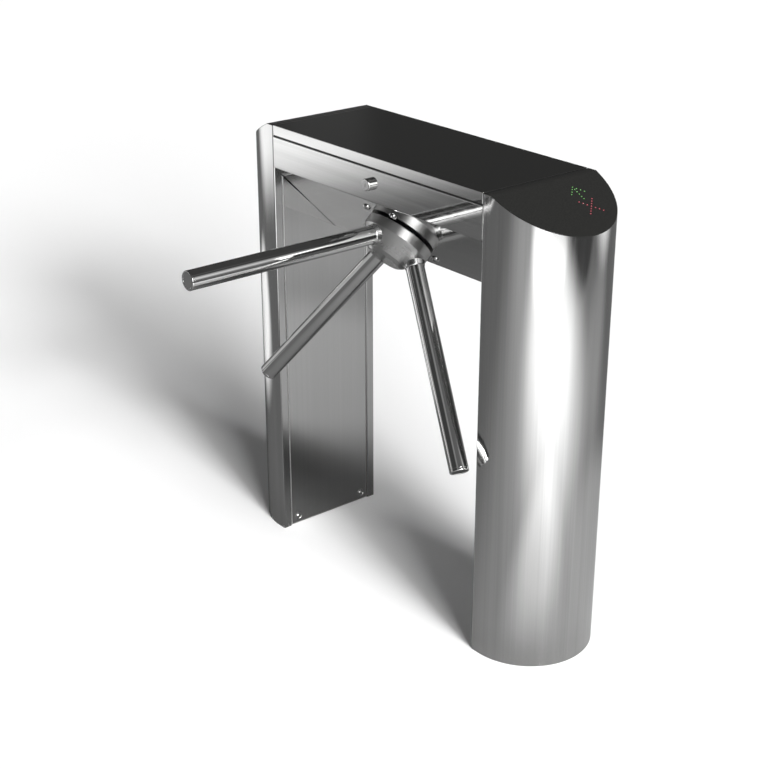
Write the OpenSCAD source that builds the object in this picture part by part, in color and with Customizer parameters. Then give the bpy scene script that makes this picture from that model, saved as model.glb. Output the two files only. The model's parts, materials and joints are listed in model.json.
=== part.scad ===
// Tripod turnstile: two D-shaped pedestals, a bridge cabinet with a 45 degree face, and a turning tripod.
// Origin: middle of the footprint on the floor. +X runs along the cabinet, -Y is the arms' side, +Z is up.

/* [Overall] */
// Height from the floor to the top of the lid
height = 1000; // [900:5:1100]
// Depth of the cabinet and of both pedestals
depth = 280; // [270:2:310]
// Clear distance between the two pedestals
inner_gap = 676; // [640:2:760]
// Straight run of each pedestal before its half-round end
straight_l = 22; // [18:1:60]
// Thickness of the folded steel sheet
sheet = 2; // [1.5:0.1:2.5]

/* [Bridge cabinet] */
// Height of the lid's edge strip
lid_h = 21; // [18:1:26]
// Seam between the lid and the fascia
seam = 3; // [2.4:0.1:4]
// Distance from the top down to the lower edge of the fascia
fascia_drop = 94; // [90:1:100]
// How far the 45 degree face runs back, and as far down
face_run = 170; // [164:1:182]
// Thickness of the bulkheads that close the cabinet's ends
end_plate_t = 4; // [3:0.5:6]

/* [Pedestals] */
// Width of the folded strips on each side of the inner panels
strip_w = 22; // [20:0.5:26]
// How far the inner panels lie behind the strips
panel_inset = 1.5; // [1:0.1:3]
// Thickness of the inner panels
panel_t = 2; // [1.5:0.1:3]
// Thickness of the floor plates
base_t = 8; // [6:0.5:12]
// Drop of the sloped end caps from the lid's level to the outer end
slope_drop = 69; // [50:1:80]
// Thickness of the black end caps
cap_t = 3; // [2:0.2:4]
// Radius of the anchor holes
anchor_r = 7; // [5:0.5:8]

/* [Tripod] */
// Outer diameter of the arm tubes
arm_d = 40; // [36:0.5:42]
// Wall of the arm tubes
arm_wall = 2; // [1.5:0.1:3]
// Reach of an arm from the point where the three axes meet
arm_reach = 541; // [460:1:545]
// Radius of the hub's cylindrical rim
hub_rim_r = 77; // [74:0.5:82]
// Gap between the hub and the 45 degree face
hub_gap = 4; // [3.5:0.1:6]
// Front edge of the rim, measured from the face
hub_rim_z = 25; // [22:0.5:28]
// Front end of the hub, measured from the face
hub_end_z = 67; // [66:0.5:70]

/* [Mechanism] */
// Thickness of the plate behind the 45 degree face
front_plate_t = 10; // [8:0.5:12]
// Distance from the face to the near side of the rear plate
rear_plate_d = 80; // [79:0.5:86]
// Thickness of the rear plate
rear_plate_t = 16; // [16:0.5:20]
// Radius of the locking disc
disc_r = 70; // [66:0.5:71]
// Stroke of the two locking bolts
bolt_stroke = 12; // [10:0.1:12]
// Radius of the locking bolts
bolt_r = 6; // [5:0.1:6]
// Module of the drive gear and its pinion
gear_module = 2; // [1.9:0.05:2]

/* [Lid and lock] */
// Thickness of the black panel let into the lid
panel_top_t = 3; // [2:0.2:4]
// Height of the lock above the fascia's lower edge
lock_up = 36.5; // [34:0.5:40]
// Radius of the lock's head
lock_head_r = 13; // [12:0.5:15]
// How far the lock's head stands off the fascia
lock_head_l = 12; // [8:0.5:15]
// Length of each lid hinge
hinge_l = 60; // [50:1:90]

/* [Hidden] */

$fn = 96;
over = 1;               // overrun of every cut
lap = 1;                // how far the joined bodies of one piece run into each other
contact_gap = 0.3;      // between pieces that lie against each other and move apart
run_gap = 0.05;         // radial running clearance of pins and shafts
hole_gap = 0.1;         // radial clearance of a screw in its hole
half_depth = depth / 2;
inner_x = inner_gap / 2;
arc_x = inner_x + straight_l;
end_x = arc_x + half_depth;
slope_angle = atan(slope_drop / half_depth);
root2 = sqrt(2);

// Levels and corners of the bridge section, as (y, z)
shell_top_z = height - lid_h - seam;
fascia_z = height - fascia_drop;
floor_z = fascia_z - face_run;
lower_y = face_run - half_depth;

// Middle of the 45 degree face, where the tripod turns
axis_y = (lower_y - half_depth) / 2;
axis_z = (fascia_z + floor_z) / 2;

// Pedestal details
joggle_w = 32;          // width of the land that carries an inner panel
skin_land_x = inner_x + panel_inset + panel_t;
strip_y = half_depth - strip_w;
panel_gap = 1;          // seam round the inner panels
panel_lift = 2;         // inner panels end this far above the floor
anchor_in_x = 47;       // inner anchor holes, from the pedestal's inner face
anchor_in_edge = 50;    // their distance from the pedestal's front and back
anchor_in_y = half_depth - anchor_in_edge;
anchor_out_x = 117;     // outer anchor holes, from the pedestal's inner face
anchor_out_edge = 95;
anchor_out_y = half_depth - anchor_out_edge;
entry_r = 25;           // cable entry in the floor plate
entry_x = 80;
cap_seam = 0.8;         // seam between lid, caps and bridge
cap_rib_h = 12;         // rib under a cap, inside the skin
cap_rib_t = 3;
panel_screw_z = 20;
panel_screw_in = 21;     // screws, from the edge of the strips
panel_screw_y = strip_y - panel_screw_in;
panel_screw_r = 2.5;
panel_screw_head_r = 5;
panel_screw_head_h = 3;
recess_w = 0.9;         // cross recess of the panel screws
recess_h = 1.2;

// Indicator lights and their boards, placed by shares of the half depth
led_r = 1.5;
led_pitch_share = 0.0418;
led_shaft_share = 0.0504;
led_y_share = 0.35;
arrow_share = 0.202;
cross_share = 0.614;
board_l_share = 0.714;
board_w_share = 0.457;
board_s_share = 0.443;
led_pitch = half_depth * led_pitch_share;       // step of the diagonal rows, along and across
led_shaft_pitch = half_depth * led_shaft_share;
led_y = half_depth * led_y_share;
arrow_s = half_depth * arrow_share;             // down the slope
cross_s = half_depth * cross_share;
board_s = half_depth * board_s_share;
board_l = half_depth * board_l_share;
board_w = half_depth * board_w_share;
board_t = 1.6;
board_drop = 5;         // top of the board below the cap's surface
board_post_r = 2.5;
board_post_in = 4;

// Cabinet details
rim_w = 10;             // inward rim along the cabinet's top
seal_w = 9.2;
seal_inset = 0.8;
grommet_in = 60;        // grommet's middle, from the cabinet's back and floor
grommet_up = 110;
grommet_y = half_depth - grommet_in;
grommet_z = floor_z + grommet_up;
grommet_r = 25;
grommet_bore_r = 18;
grommet_lip = 4;
grommet_lip_t = 3;
m8_r = 4;
m8_head_r = 7.5;
m8_head_h = 5.3;
m8_nut_h = 6.5;
strip_bolt_y = half_depth - strip_w / 2;
front_bolt_drop = 18;   // bolts in the front strips, from the cabinet's top edge down
front_bolt_pitch = 34;
back_bolt_pitch = 90;
// Places of the bolts that join a bulkhead to a pedestal, as (y, z)
bridge_bolt_places = concat(
    [for (i = [0, 1]) [-strip_bolt_y, shell_top_z - front_bolt_drop - i * front_bolt_pitch]],
    [for (i = [0:2]) [strip_bolt_y, shell_top_z - front_bolt_drop - i * back_bolt_pitch]]
);

// Tripod hub, as (radius, distance from the face)
apex_d = 17.6;          // the arm axes meet this far behind the face
arm_turns = [0, 120, 240];
arm_r = arm_d / 2;
arm_foot = 57.5;        // inner end of an arm tube, from the apex
hub_front_r = 46;
hub_nose_h = 5;         // shallow cone round the hub's flat end
hub_front_z = hub_end_z - hub_nose_h;
hub_flat_r = 38;
rim_edge = 1;           // broken edge of the rim
cap_recess_r = 32;
cap_recess_h = 3;
cap_edge = 0.8;
spigot_r = 15;
spigot_z = 44;
hub_bolt_r = 6;
hub_bolt_head_r = 9;
hub_bolt_seat_z = 53;
hub_bolt_head_h = 8;
hub_bolt_key_r = 5;
collar_r = 23;
collar_top_r = 21;
collar_foot = 78;
collar_end = 95;
end_cap_l = 6;
end_cap_edge = 2;
end_cap_spigot = 12;
plug_l = 36;
clamp_l = 75;           // clamp screw's place along the arm
clamp_r = 4;
clamp_in = 8;           // ends of the clamp screw, from the arm's axis
clamp_out = 30;
clamp_cut = 46;

// Shaft, as depth behind the face
flange_r = 30;
flange_d = 4;
shaft_r = 20;
shaft_mid_r = 18;
shaft_rear_r = 15;
shaft_end_r = 10;
face_hole_r = 34;
housing_lip = 2;        // shoulder in front of the front bearing
bearing_d = front_plate_t + sheet + housing_lip;
bearing_w = 18;
bearing_r = 40;
rear_bearing_w = 16;
rear_bearing_r = 31;
shaft_shoulder_in = 4;
shaft_proud = 2;
shaft_shoulder_d = bearing_d + bearing_w + shaft_shoulder_in;
shaft_end_d = rear_plate_d + rear_plate_t + shaft_proud;
shaft_tail = 14;
ball_count = 9;
groove_gap = 0.1;
ball_share = 0.295;     // ball radius as a share of the ring's radial height
land_share = 0.5;       // ring shoulder as a share of the ball radius

// Plates and posts
plate_w = 316;
plate_h = 200;
plate_edge_r = 12;
rear_w = 264;
rear_low = 105;
rear_high = 85;
post_x = 120;
post_low = 85;
post_high = 70;
post_r = 9;
post_nut_r = 7.5;
post_nut_h = 6.5;
face_screw_x = 43;
face_screw_y = 83;
m10_r = 5;
m10_head_r = 9;
m10_head_h = 5.5;
m10_key_r = 3.5;
m10_key_h = 3;
seal_r = 60;
housing_r = 56;
housing_l = housing_lip + bearing_w;
cover_t = 4;
housing_screw_r = 3;
housing_screw_pcd_r = 48;
housing_screw_head_r = 5;
housing_screw_head_h = 2.5;

// Locking disc and bolts
disc_d = 40;
disc_t = 10;
boss_r = 28;
disc_boss_t = 14;
notch_count = 6;
notch_gap = 0.5;
notch_depth = 12.5;
bolt_clear = 2.3;       // bolt's nose off the disc at rest
bolt_nose = 2;
bolt_head_r = 9;
bolt_head_t = 4;
coil_in = 28;           // near side of a solenoid, from the disc's edge
coil_l = 48;
coil_r = 20;
frame_t = 3;
frame_w = 44;
frame_high = 21;
bolt_d = disc_d + disc_t / 2;

// Drive gear and pinion
gear_teeth = 60;
pinion_teeth = 15;
gear_d = 58;
gear_w = 10;
gear_boss_t = 14;
gear_hole_count = 6;
gear_hole_r = 8;
gear_hole_pcd_r = 42;
pinion_over = 1;
pinion_shaft_r = 4;
tip_share = 0.9;
root_share = 1.2;
root_half_share = 0.31;
pitch_half_share = 0.24;
tip_half_share = 0.13;
gear_r = gear_module * gear_teeth / 2;
pinion_r = gear_module * pinion_teeth / 2;
pinion_y = -(gear_r + pinion_r);
gearbox_r = 24;
motor_r = 19;
motor_keep = 2;         // off the back wall
gearbox_share = 0.375;  // of the room behind the rear plate
motor_share = 0.4;
// Room along the motor's axis, from the rear plate to where its rim would meet the back wall
motor_wall_l = root2 * (half_depth - sheet - motor_keep - axis_y) + pinion_y - motor_r;
motor_room = motor_wall_l - rear_plate_d - rear_plate_t;
gearbox_l = motor_room * gearbox_share;
motor_l = motor_room * motor_share;
gearbox_boss_r = 10.9;
gearbox_boss_l = 14;
pinion_tail = gearbox_l / 2;

// Encoder
encoder_r = 36;
encoder_t = 1.5;
encoder_hub_r = 16;
encoder_hub_t = 8;
encoder_slots = 24;
encoder_slot_w = 2.5;
encoder_slot_l = 6;
encoder_rim = 3;
encoder_d = shaft_end_d + (encoder_hub_t - encoder_t) / 2;
fork_w = 16;
fork_in = 26;
fork_out = 50;
fork_l = 14;
fork_gap = 1.5;

// Electronics on the cabinet's floor
tray_x = -250;
tray_l = 150;
tray_in = 6;            // clear floor in front of the tray
tray_keep = 14;         // clear floor in front and behind together
tray_w = depth - face_run - tray_keep;
tray_y = lower_y + tray_in + tray_w / 2;
tray_lip = 10;
pcb_l = 136;
pcb_keep = 14;
pcb_w = tray_w - pcb_keep;
pcb_t = 1.6;
pcb_lift = 8;
standoff_r = 3;
standoff_in = 6;
relay_size = [19, 15, 16];
relay_count = 4;
relay_pitch = 24;
relay_back = 40;
terminal_size = [84, 10, 12];
terminal_in = 3;
capacitor_r = 8;
capacitor_h = 22;
supply_x = 250;
supply_l = 129;
supply_w = tray_w;
supply_h = 38;
supply_ledge_l = 16;
supply_ledge_h = 18;

// Lid, lock and hinge
lid_gap = 0.2;          // seam between the black panel and its frame
catch_x = 24;
catch_w = 18;
catch_gap = 2.4;        // between the tongue and the bracket's web
catch_ledge = 9;
catch_t = 2.5;
lock_z = fascia_z + lock_up;
lock_body_r = 11;
lock_body_l = 22;
lock_core_r = 8;
lock_tail_r = 5;
lock_tail_l = 6;
lock_edge = 1.5;
lock_nut_r = 16;
lock_nut_t = 5;
keyway_w = 1.8;
keyway_h = 9;
keyway_l = 8;
cam_t = 3;
cam_w = 12;
cam_l = 38;
cam_hub_r = 10;
cam_gap = 0.6;
catch_y = lock_body_l + cam_gap + cam_t + catch_gap - half_depth;
hinge_x = 220;
knuckle_r = 3.5;
hinge_pin_r = 1.5;
leaf_t = 1.5;
leaf_h = 32;
leaf_up = 16;
leaf_keep = 4.2;        // leaf's edge off the other leaf's knuckle
hinge_y = half_depth + knuckle_r + contact_gap;
hinge_z = shell_top_z + seam / 2;

// Placing

// Frame of the tripod: +Z out of the 45 degree face, +Y up along it
module head() translate([0, axis_y, axis_z]) rotate([135, 0, 0]) children();

// A slab from depth d behind the face, t thick
module slab(d, t) translate([0, 0, -d - t]) linear_extrude(t) children();

// Frame of one arm: +Z along the arm from the apex, -Y towards the hub's front
module arm_axis(turn) translate([0, 0, -apex_d]) rotate([0, 0, -turn]) rotate([-45, 0, 0]) children();

// Frame of the right cap's slope: +X down the slope, +Z out of it
module slope() translate([arc_x, 0, height]) rotate([0, slope_angle, 0]) children();

module on_left() mirror([1, 0, 0]) children();

module both_sides() {
    children();
    on_left() children();
}

module at_pairs(x, y) for (sx = [-1, 1], sy = [-1, 1]) translate([sx * x, sy * y, 0]) children();

// Shapes used by more than one piece

// D-shaped prism of the right pedestal's plan, drawn in by inset and starting at from_x
module d_prism(inset, from_x, h) {
    r = half_depth - inset;
    intersection() {
        translate([arc_x, 0, 0]) cylinder(r = r, h = h);
        translate([arc_x, -r, 0]) cube([r, 2 * r, h]);
    }
    translate([from_x, -r, 0]) cube([arc_x - from_x, 2 * r, h]);
}

// Everything under the right pedestal's sloped top, lowered by drop
module under_slope(drop) {
    translate([0, half_depth + over, 0]) rotate([90, 0, 0]) linear_extrude(depth + 2 * over) polygon([
        [inner_x - over, -over], [inner_x - over, height - drop], [arc_x, height - drop],
        [end_x, height - slope_drop - drop], [end_x + over, height - slope_drop - drop],
        [end_x + over, -over]
    ]);
}

// Bridge section, drawn in by inset on the closed sides
function bridge_section(inset, top_z) = [
    [inset - half_depth, top_z],
    [inset - half_depth, fascia_z + inset * (root2 - 1)],
    [lower_y + inset * (root2 - 1), floor_z + inset],
    [half_depth - inset, floor_z + inset],
    [half_depth - inset, top_z]
];

module bridge_prism(inset, top_z, half_l) {
    translate([-half_l, 0, 0]) rotate([90, 0, 90]) linear_extrude(2 * half_l)
        polygon(bridge_section(inset, top_z));
}

module round_plate(w, low, high, r) {
    translate([-w / 2 + r, -low]) square([w - 2 * r, low + high]);
    translate([-w / 2, -low + r]) square([w, low + high - 2 * r]);
    for (x = [r - w / 2, w / 2 - r], y = [r - low, high - r]) translate([x, y]) circle(r);
}

// Places of the lights on one cap
function cross_places() = concat(
    [for (i = [-3:3]) [cross_s + i * led_pitch, led_y + i * led_pitch]],
    [for (i = [-3:3]) if (i != 0) [cross_s + i * led_pitch, led_y - i * led_pitch]]
);
function arrow_places() = concat(
    [for (i = [0:3]) [arrow_s + i * led_pitch, led_y + i * led_pitch]],
    [for (i = [1:3]) [arrow_s + i * led_pitch, led_y - i * led_pitch]],
    [for (i = [1:5]) [arrow_s + i * led_shaft_pitch, led_y]]
);

// Spur gear outline, with straight flanks through root, pitch and tip
function gear_points(teeth) = [
    for (i = [0:teeth - 1], p = [
        [-root_half_share, -root_share], [-pitch_half_share, 0], [-tip_half_share, tip_share],
        [tip_half_share, tip_share], [pitch_half_share, 0], [root_half_share, -root_share]
    ])
    let (r = gear_module * (teeth / 2 + p[1]), a = 360 * (i + p[0]) / teeth) [r * cos(a), r * sin(a)]
];

module ball_groove(pitch, w, ball_r)
    translate([0, 0, w / 2]) rotate_extrude() translate([pitch, 0]) circle(ball_r + groove_gap, $fn = 48);

// Bearing rings and balls round the local axis, from depth d
module bearing(bore_r, outer_r, d, w, part) {
    pitch = (bore_r + outer_r) / 2;
    ball_r = (outer_r - bore_r) * ball_share;
    land = ball_r * land_share;
    translate([0, 0, -d - w]) {
        if (part == "inner") difference() {
            cylinder(r = pitch - land, h = w);
            translate([0, 0, -over]) cylinder(r = bore_r, h = w + 2 * over);
            ball_groove(pitch, w, ball_r);
        }
        if (part == "outer") difference() {
            cylinder(r = outer_r, h = w);
            translate([0, 0, -over]) cylinder(r = pitch + land, h = w + 2 * over);
            ball_groove(pitch, w, ball_r);
        }
        if (part == "balls") for (i = [0:ball_count - 1]) rotate([0, 0, i * 360 / ball_count])
            translate([pitch, 0, w / 2]) sphere(r = ball_r, $fn = 32);
    }
}

// Pedestals

module pedestal_skin() color("silver") {
    land_top = height - cap_t - cap_rib_h - over;
    difference() {
        intersection() {
            d_prism(0, inner_x, height);
            under_slope(cap_t);
        }
        translate([0, 0, -over]) d_prism(sheet, inner_x + sheet, height + 2 * over);
        translate([inner_x - over, -strip_y, -over])
            cube([sheet + 2 * over, 2 * strip_y, height + 2 * over]);
        for (p = bridge_bolt_places) translate([inner_x - over, p[0], p[1]]) rotate([0, 90, 0])
            cylinder(r = m8_r + hole_gap, h = sheet + 2 * over);
    }
    // The folded joggle that carries the inner panel, with its screw holes
    for (s = [-1, 1]) difference() {
        union() {
            translate([inner_x, s > 0 ? strip_y : -strip_y - sheet, base_t])
                cube([skin_land_x + sheet - inner_x, sheet, land_top - base_t]);
            translate([skin_land_x, s > 0 ? strip_y + sheet - joggle_w : -strip_y - sheet, base_t])
                cube([sheet, joggle_w, land_top - base_t]);
        }
        translate([skin_land_x - over, s * panel_screw_y, panel_screw_z]) rotate([0, 90, 0])
            cylinder(r = panel_screw_r + hole_gap, h = sheet + 2 * over);
    }
}
module pedestal_skin_right() pedestal_skin();
module pedestal_skin_left() on_left() pedestal_skin();

module base_plate() color("dimgray") difference() {
    d_prism(sheet, skin_land_x, base_t);
    for (s = [-1, 1], p = [[anchor_in_x, anchor_in_y], [anchor_out_x, anchor_out_y]])
        translate([inner_x + p[0], s * p[1], -over]) cylinder(r = anchor_r, h = base_t + 2 * over);
    translate([inner_x + entry_x, 0, -over]) cylinder(r = entry_r, h = base_t + 2 * over);
}
module base_plate_right() base_plate();
module base_plate_left() on_left() base_plate();

module inner_panel() color("darkgray") {
    y = strip_y - panel_gap;
    difference() {
        translate([inner_x + panel_inset, 0, 0]) rotate([90, 0, 90]) linear_extrude(panel_t) polygon([
            [-y, panel_lift], [-y, fascia_z - panel_gap * root2 - (half_depth - y)],
            [lower_y - panel_gap * (root2 - 1), floor_z - panel_gap], [y, floor_z - panel_gap],
            [y, panel_lift]
        ]);
        for (s = [-1, 1]) translate([inner_x + panel_inset - over, s * panel_screw_y, panel_screw_z])
            rotate([0, 90, 0]) cylinder(r = panel_screw_r + hole_gap, h = panel_t + 2 * over);
    }
}
module inner_panel_right() inner_panel();
module inner_panel_left() on_left() inner_panel();

// Round-head screws, with a cross recess
module panel_screws() color("silver") both_sides() for (s = [-1, 1])
    translate([inner_x + panel_inset, s * panel_screw_y, panel_screw_z]) rotate([0, -90, 0]) difference() {
        union() {
            intersection() {
                cylinder(r = panel_screw_head_r, h = panel_screw_head_h);
                translate([0, 0, panel_screw_head_h - panel_screw_head_r * root2])
                    sphere(r = panel_screw_head_r * root2, $fn = 48);
            }
            translate([0, 0, -panel_t - sheet - over])
                cylinder(r = panel_screw_r, h = panel_t + sheet + over);
        }
        for (a = [0, 90]) rotate([0, 0, a])
            translate([-panel_screw_r, -recess_w / 2, panel_screw_head_h - recess_h])
                cube([2 * panel_screw_r, recess_w, panel_screw_head_h]);
    }

module end_cap() color([0.14, 0.14, 0.14]) difference() {
    union() {
        intersection() {
            d_prism(0, inner_x + cap_seam, height + over);
            difference() {
                under_slope(0);
                under_slope(cap_t);
            }
        }
        // Locating rib, just inside the skin
        intersection() {
            difference() {
                d_prism(sheet + lid_gap, inner_x + sheet + lid_gap, height);
                d_prism(sheet + lid_gap + cap_rib_t, inner_x + sheet + lid_gap + cap_rib_t, height);
            }
            difference() {
                under_slope(cap_t - lap);
                under_slope(cap_t + cap_rib_h);
            }
        }
    }
    for (p = concat(cross_places(), arrow_places())) slope() translate([p[0], p[1], -board_drop])
        cylinder(r = led_r + hole_gap, h = 2 * board_drop, $fn = 16);
}
module end_cap_right() end_cap();
module end_cap_left() on_left() end_cap();

module indicator_boards() color("darkgreen") both_sides() slope() {
    translate([board_s - board_l / 2, led_y - board_w / 2 - 2 * board_post_in, -board_drop - board_t])
        cube([board_l, board_w, board_t]);
    for (x = [board_post_in, board_l - board_post_in], y = [-board_post_in, board_w - 3 * board_post_in])
        translate([board_s - board_l / 2 + x, led_y - board_w / 2 + y, -board_drop - lap])
            cylinder(r = board_post_r, h = board_drop + lap - cap_t * cos(slope_angle));
}

module led_lens(places) both_sides() slope() for (p = places) translate([p[0], p[1], -board_drop])
    cylinder(r = led_r, h = board_drop, $fn = 16);
module arrow_leds() color("lime") led_lens(arrow_places());
module cross_leds() color("red") led_lens(cross_places());

// Bridge cabinet

module bridge_shell() color("silver") difference() {
    union() {
        difference() {
            bridge_prism(0, shell_top_z, inner_x - cap_seam);
            bridge_prism(sheet, shell_top_z + over, inner_x + over);
        }
        for (y = [sheet - lap - half_depth, half_depth - sheet - rim_w])
            translate([end_plate_t - inner_x, y, shell_top_z - sheet])
                cube([inner_gap - 2 * end_plate_t, rim_w + lap, sheet]);
    }
    head() {
        translate([0, 0, -sheet - over]) cylinder(r = face_hole_r, h = sheet + 2 * over);
        at_pairs(face_screw_x, face_screw_y) translate([0, 0, -sheet - over])
            cylinder(r = m10_r + hole_gap, h = sheet + 2 * over);
    }
    translate([0, over - half_depth + sheet, lock_z]) rotate([90, 0, 0])
        cylinder(r = lock_body_r + hole_gap, h = sheet + 2 * over);
}

module end_plates() color("gray") both_sides() difference() {
    translate([inner_x - end_plate_t, 0, 0]) rotate([90, 0, 90]) linear_extrude(end_plate_t)
        polygon(bridge_section(sheet, shell_top_z));
    for (p = bridge_bolt_places) translate([inner_x - end_plate_t - over, p[0], p[1]]) rotate([0, 90, 0])
        cylinder(r = m8_r + hole_gap, h = end_plate_t + 2 * over);
    translate([inner_x - end_plate_t - over, grommet_y, grommet_z]) rotate([0, 90, 0])
        cylinder(r = grommet_r, h = end_plate_t + 2 * over);
}

module bridge_bolts() color("gainsboro") both_sides() for (p = bridge_bolt_places)
    translate([inner_x, p[0], p[1]]) rotate([0, 90, 0]) {
        translate([0, 0, -end_plate_t - m8_head_h]) cylinder(r = m8_head_r, h = m8_head_h, $fn = 6);
        translate([0, 0, -end_plate_t - over]) cylinder(r = m8_r, h = end_plate_t + sheet + 2 * over);
        translate([0, 0, sheet]) cylinder(r = m8_head_r, h = m8_nut_h, $fn = 6);
    }

module cable_grommets() color([0.1, 0.1, 0.1]) both_sides()
    translate([inner_x - end_plate_t / 2, grommet_y, grommet_z]) rotate([0, 90, 0]) difference() {
        union() {
            translate([0, 0, -end_plate_t / 2 - grommet_lip_t])
                cylinder(r = grommet_r, h = end_plate_t + 2 * grommet_lip_t);
            for (z = [-end_plate_t / 2 - grommet_lip_t, end_plate_t / 2]) translate([0, 0, z])
                cylinder(r = grommet_r + grommet_lip, h = grommet_lip_t);
        }
        translate([0, 0, -end_plate_t - grommet_lip_t])
            cylinder(r = grommet_bore_r, h = 2 * (end_plate_t + grommet_lip_t));
    }

module lid_seal() color([0.08, 0.08, 0.08]) {
    half_l = inner_x - cap_seam - seal_inset;
    half_w = half_depth - seal_inset;
    h = seam - lid_gap;
    difference() {
        translate([-half_l, -half_w, shell_top_z]) cube([2 * half_l, 2 * half_w, h]);
        translate([end_plate_t - inner_x, seal_w - half_w, shell_top_z - over])
            cube([inner_gap - 2 * end_plate_t, 2 * (half_w - seal_w), h + 2 * over]);
    }
}

// Mechanism, in the tripod's frame

module front_plate() color("slategray") head() difference() {
    slab(sheet, front_plate_t) round_plate(plate_w, plate_h / 2, plate_h / 2, plate_edge_r);
    translate([0, 0, -sheet - front_plate_t - over]) cylinder(r = face_hole_r, h = front_plate_t + 2 * over);
    at_pairs(face_screw_x, face_screw_y) translate([0, 0, -sheet - front_plate_t - over])
        cylinder(r = m10_r + hole_gap, h = front_plate_t + 2 * over);
    post_places() translate([0, 0, -sheet - front_plate_t - over])
        cylinder(r = m8_r, h = front_plate_t + 2 * over);
    housing_screw_places() translate([0, 0, -sheet - front_plate_t - over])
        cylinder(r = housing_screw_r, h = front_plate_t + 2 * over);
}

module post_places() for (x = [-post_x, post_x], y = [-post_low, post_high]) translate([x, y, 0]) children();
module housing_screw_places() for (a = [45:90:315]) rotate([0, 0, a])
    translate([housing_screw_pcd_r, 0, 0]) children();

module rear_plate() color("slategray") head() difference() {
    slab(rear_plate_d, rear_plate_t) round_plate(rear_w, rear_low, rear_high, plate_edge_r);
    translate([0, 0, -rear_plate_d - rear_plate_t - over]) {
        cylinder(r = rear_bearing_r, h = rear_plate_t + 2 * over);
        translate([0, pinion_y, 0]) cylinder(r = gearbox_boss_r + hole_gap, h = rear_plate_t + 2 * over);
        post_places() cylinder(r = m8_r + hole_gap, h = rear_plate_t + 2 * over);
    }
}

// Posts with a stud in the front plate and a nut behind the rear plate
module spacer_posts() color("gainsboro") head() post_places() {
    front = sheet + front_plate_t;
    translate([0, 0, -rear_plate_d]) cylinder(r = post_r, h = rear_plate_d - front);
    translate([0, 0, -front - over]) cylinder(r = m8_r, h = front_plate_t + over);
    translate([0, 0, -rear_plate_d - rear_plate_t - over]) cylinder(r = m8_r, h = rear_plate_t + 2 * over);
    translate([0, 0, -rear_plate_d - rear_plate_t - post_nut_h])
        cylinder(r = post_nut_r, h = post_nut_h, $fn = 6);
}

// Button-head screws through the face, with a hexagon recess
module face_screws() color("gainsboro") head() at_pairs(face_screw_x, face_screw_y) difference() {
    union() {
        intersection() {
            cylinder(r = m10_head_r, h = m10_head_h);
            translate([0, 0, m10_head_h - m10_head_r * root2]) sphere(r = m10_head_r * root2, $fn = 48);
        }
        translate([0, 0, -sheet - front_plate_t]) cylinder(r = m10_r, h = sheet + front_plate_t + over);
    }
    translate([0, 0, m10_head_h - m10_key_h]) cylinder(r = m10_key_r, h = m10_head_h, $fn = 6);
}

module hub_seal() color([0.06, 0.06, 0.06]) head() difference() {
    cylinder(r = seal_r, h = hub_gap - contact_gap);
    translate([0, 0, -over]) cylinder(r = face_hole_r, h = hub_gap + 2 * over);
}

module bearing_housing() color("lightslategray") head() difference() {
    slab(sheet + front_plate_t, housing_l) circle(housing_r);
    slab(bearing_d, housing_l) circle(bearing_r);
    slab(sheet + front_plate_t - over, housing_l) circle(face_hole_r);
    housing_screw_places() slab(sheet + front_plate_t - over, housing_l + 2 * over)
        circle(housing_screw_r + hole_gap);
}

module bearing_cover() color("gray") head() difference() {
    slab(sheet + front_plate_t + housing_l, cover_t) circle(housing_r);
    slab(sheet + front_plate_t + housing_l - over, cover_t + 2 * over) circle(face_hole_r);
    housing_screw_places() {
        slab(sheet + front_plate_t + housing_l - over, cover_t + 2 * over)
            circle(housing_screw_r + hole_gap);
        translate([0, 0, -sheet - front_plate_t - housing_l - cover_t]) housing_screw_head(hole_gap);
    }
}

module housing_screw_head(gap)
    cylinder(r1 = housing_screw_head_r + gap, r2 = housing_screw_r + gap, h = housing_screw_head_h);

module housing_screws() color("gainsboro") head() housing_screw_places() {
    back = sheet + front_plate_t + housing_l + cover_t;
    translate([0, 0, -back]) cylinder(r = housing_screw_r, h = back - sheet);
    translate([0, 0, -back]) housing_screw_head(0);
}

module bearing_outer_rings() color("gainsboro") head() {
    bearing(shaft_r, bearing_r, bearing_d, bearing_w, "outer");
    bearing(shaft_rear_r, rear_bearing_r, rear_plate_d, rear_bearing_w, "outer");
}
module bearing_inner_rings() color("gainsboro") head() {
    bearing(shaft_r, bearing_r, bearing_d, bearing_w, "inner");
    bearing(shaft_rear_r, rear_bearing_r, rear_plate_d, rear_bearing_w, "inner");
}
module bearing_balls() color("white") head() {
    bearing(shaft_r, bearing_r, bearing_d, bearing_w, "balls");
    bearing(shaft_rear_r, rear_bearing_r, rear_plate_d, rear_bearing_w, "balls");
}

// A solenoid's parts lie along +X of this frame, which starts at the disc's edge
module solenoid_axis() translate([disc_r, 0, -bolt_d]) rotate([0, 90, 0]) children();

module solenoid_frames() color("lightgray") head() both_sides() {
    x = disc_r + coil_in;
    base_d = sheet + front_plate_t;
    difference() {
        translate([x - frame_t, -frame_w / 2, -bolt_d - frame_high])
            cube([coil_l + 2 * frame_t, frame_w, bolt_d + frame_high - base_d]);
        translate([x, -frame_w / 2 - over, -bolt_d - frame_high - over])
            cube([coil_l, frame_w + 2 * over, bolt_d + frame_high - base_d - frame_t + over]);
        solenoid_axis() cylinder(r = bolt_r + run_gap, h = coil_in + coil_l + frame_t + over);
    }
}

module solenoid_coils() color([0.72, 0.36, 0.16]) head() both_sides() solenoid_axis() difference() {
    translate([0, 0, coil_in]) cylinder(r = coil_r, h = coil_l);
    cylinder(r = bolt_r + contact_gap, h = coil_in + coil_l + over);
}

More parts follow.
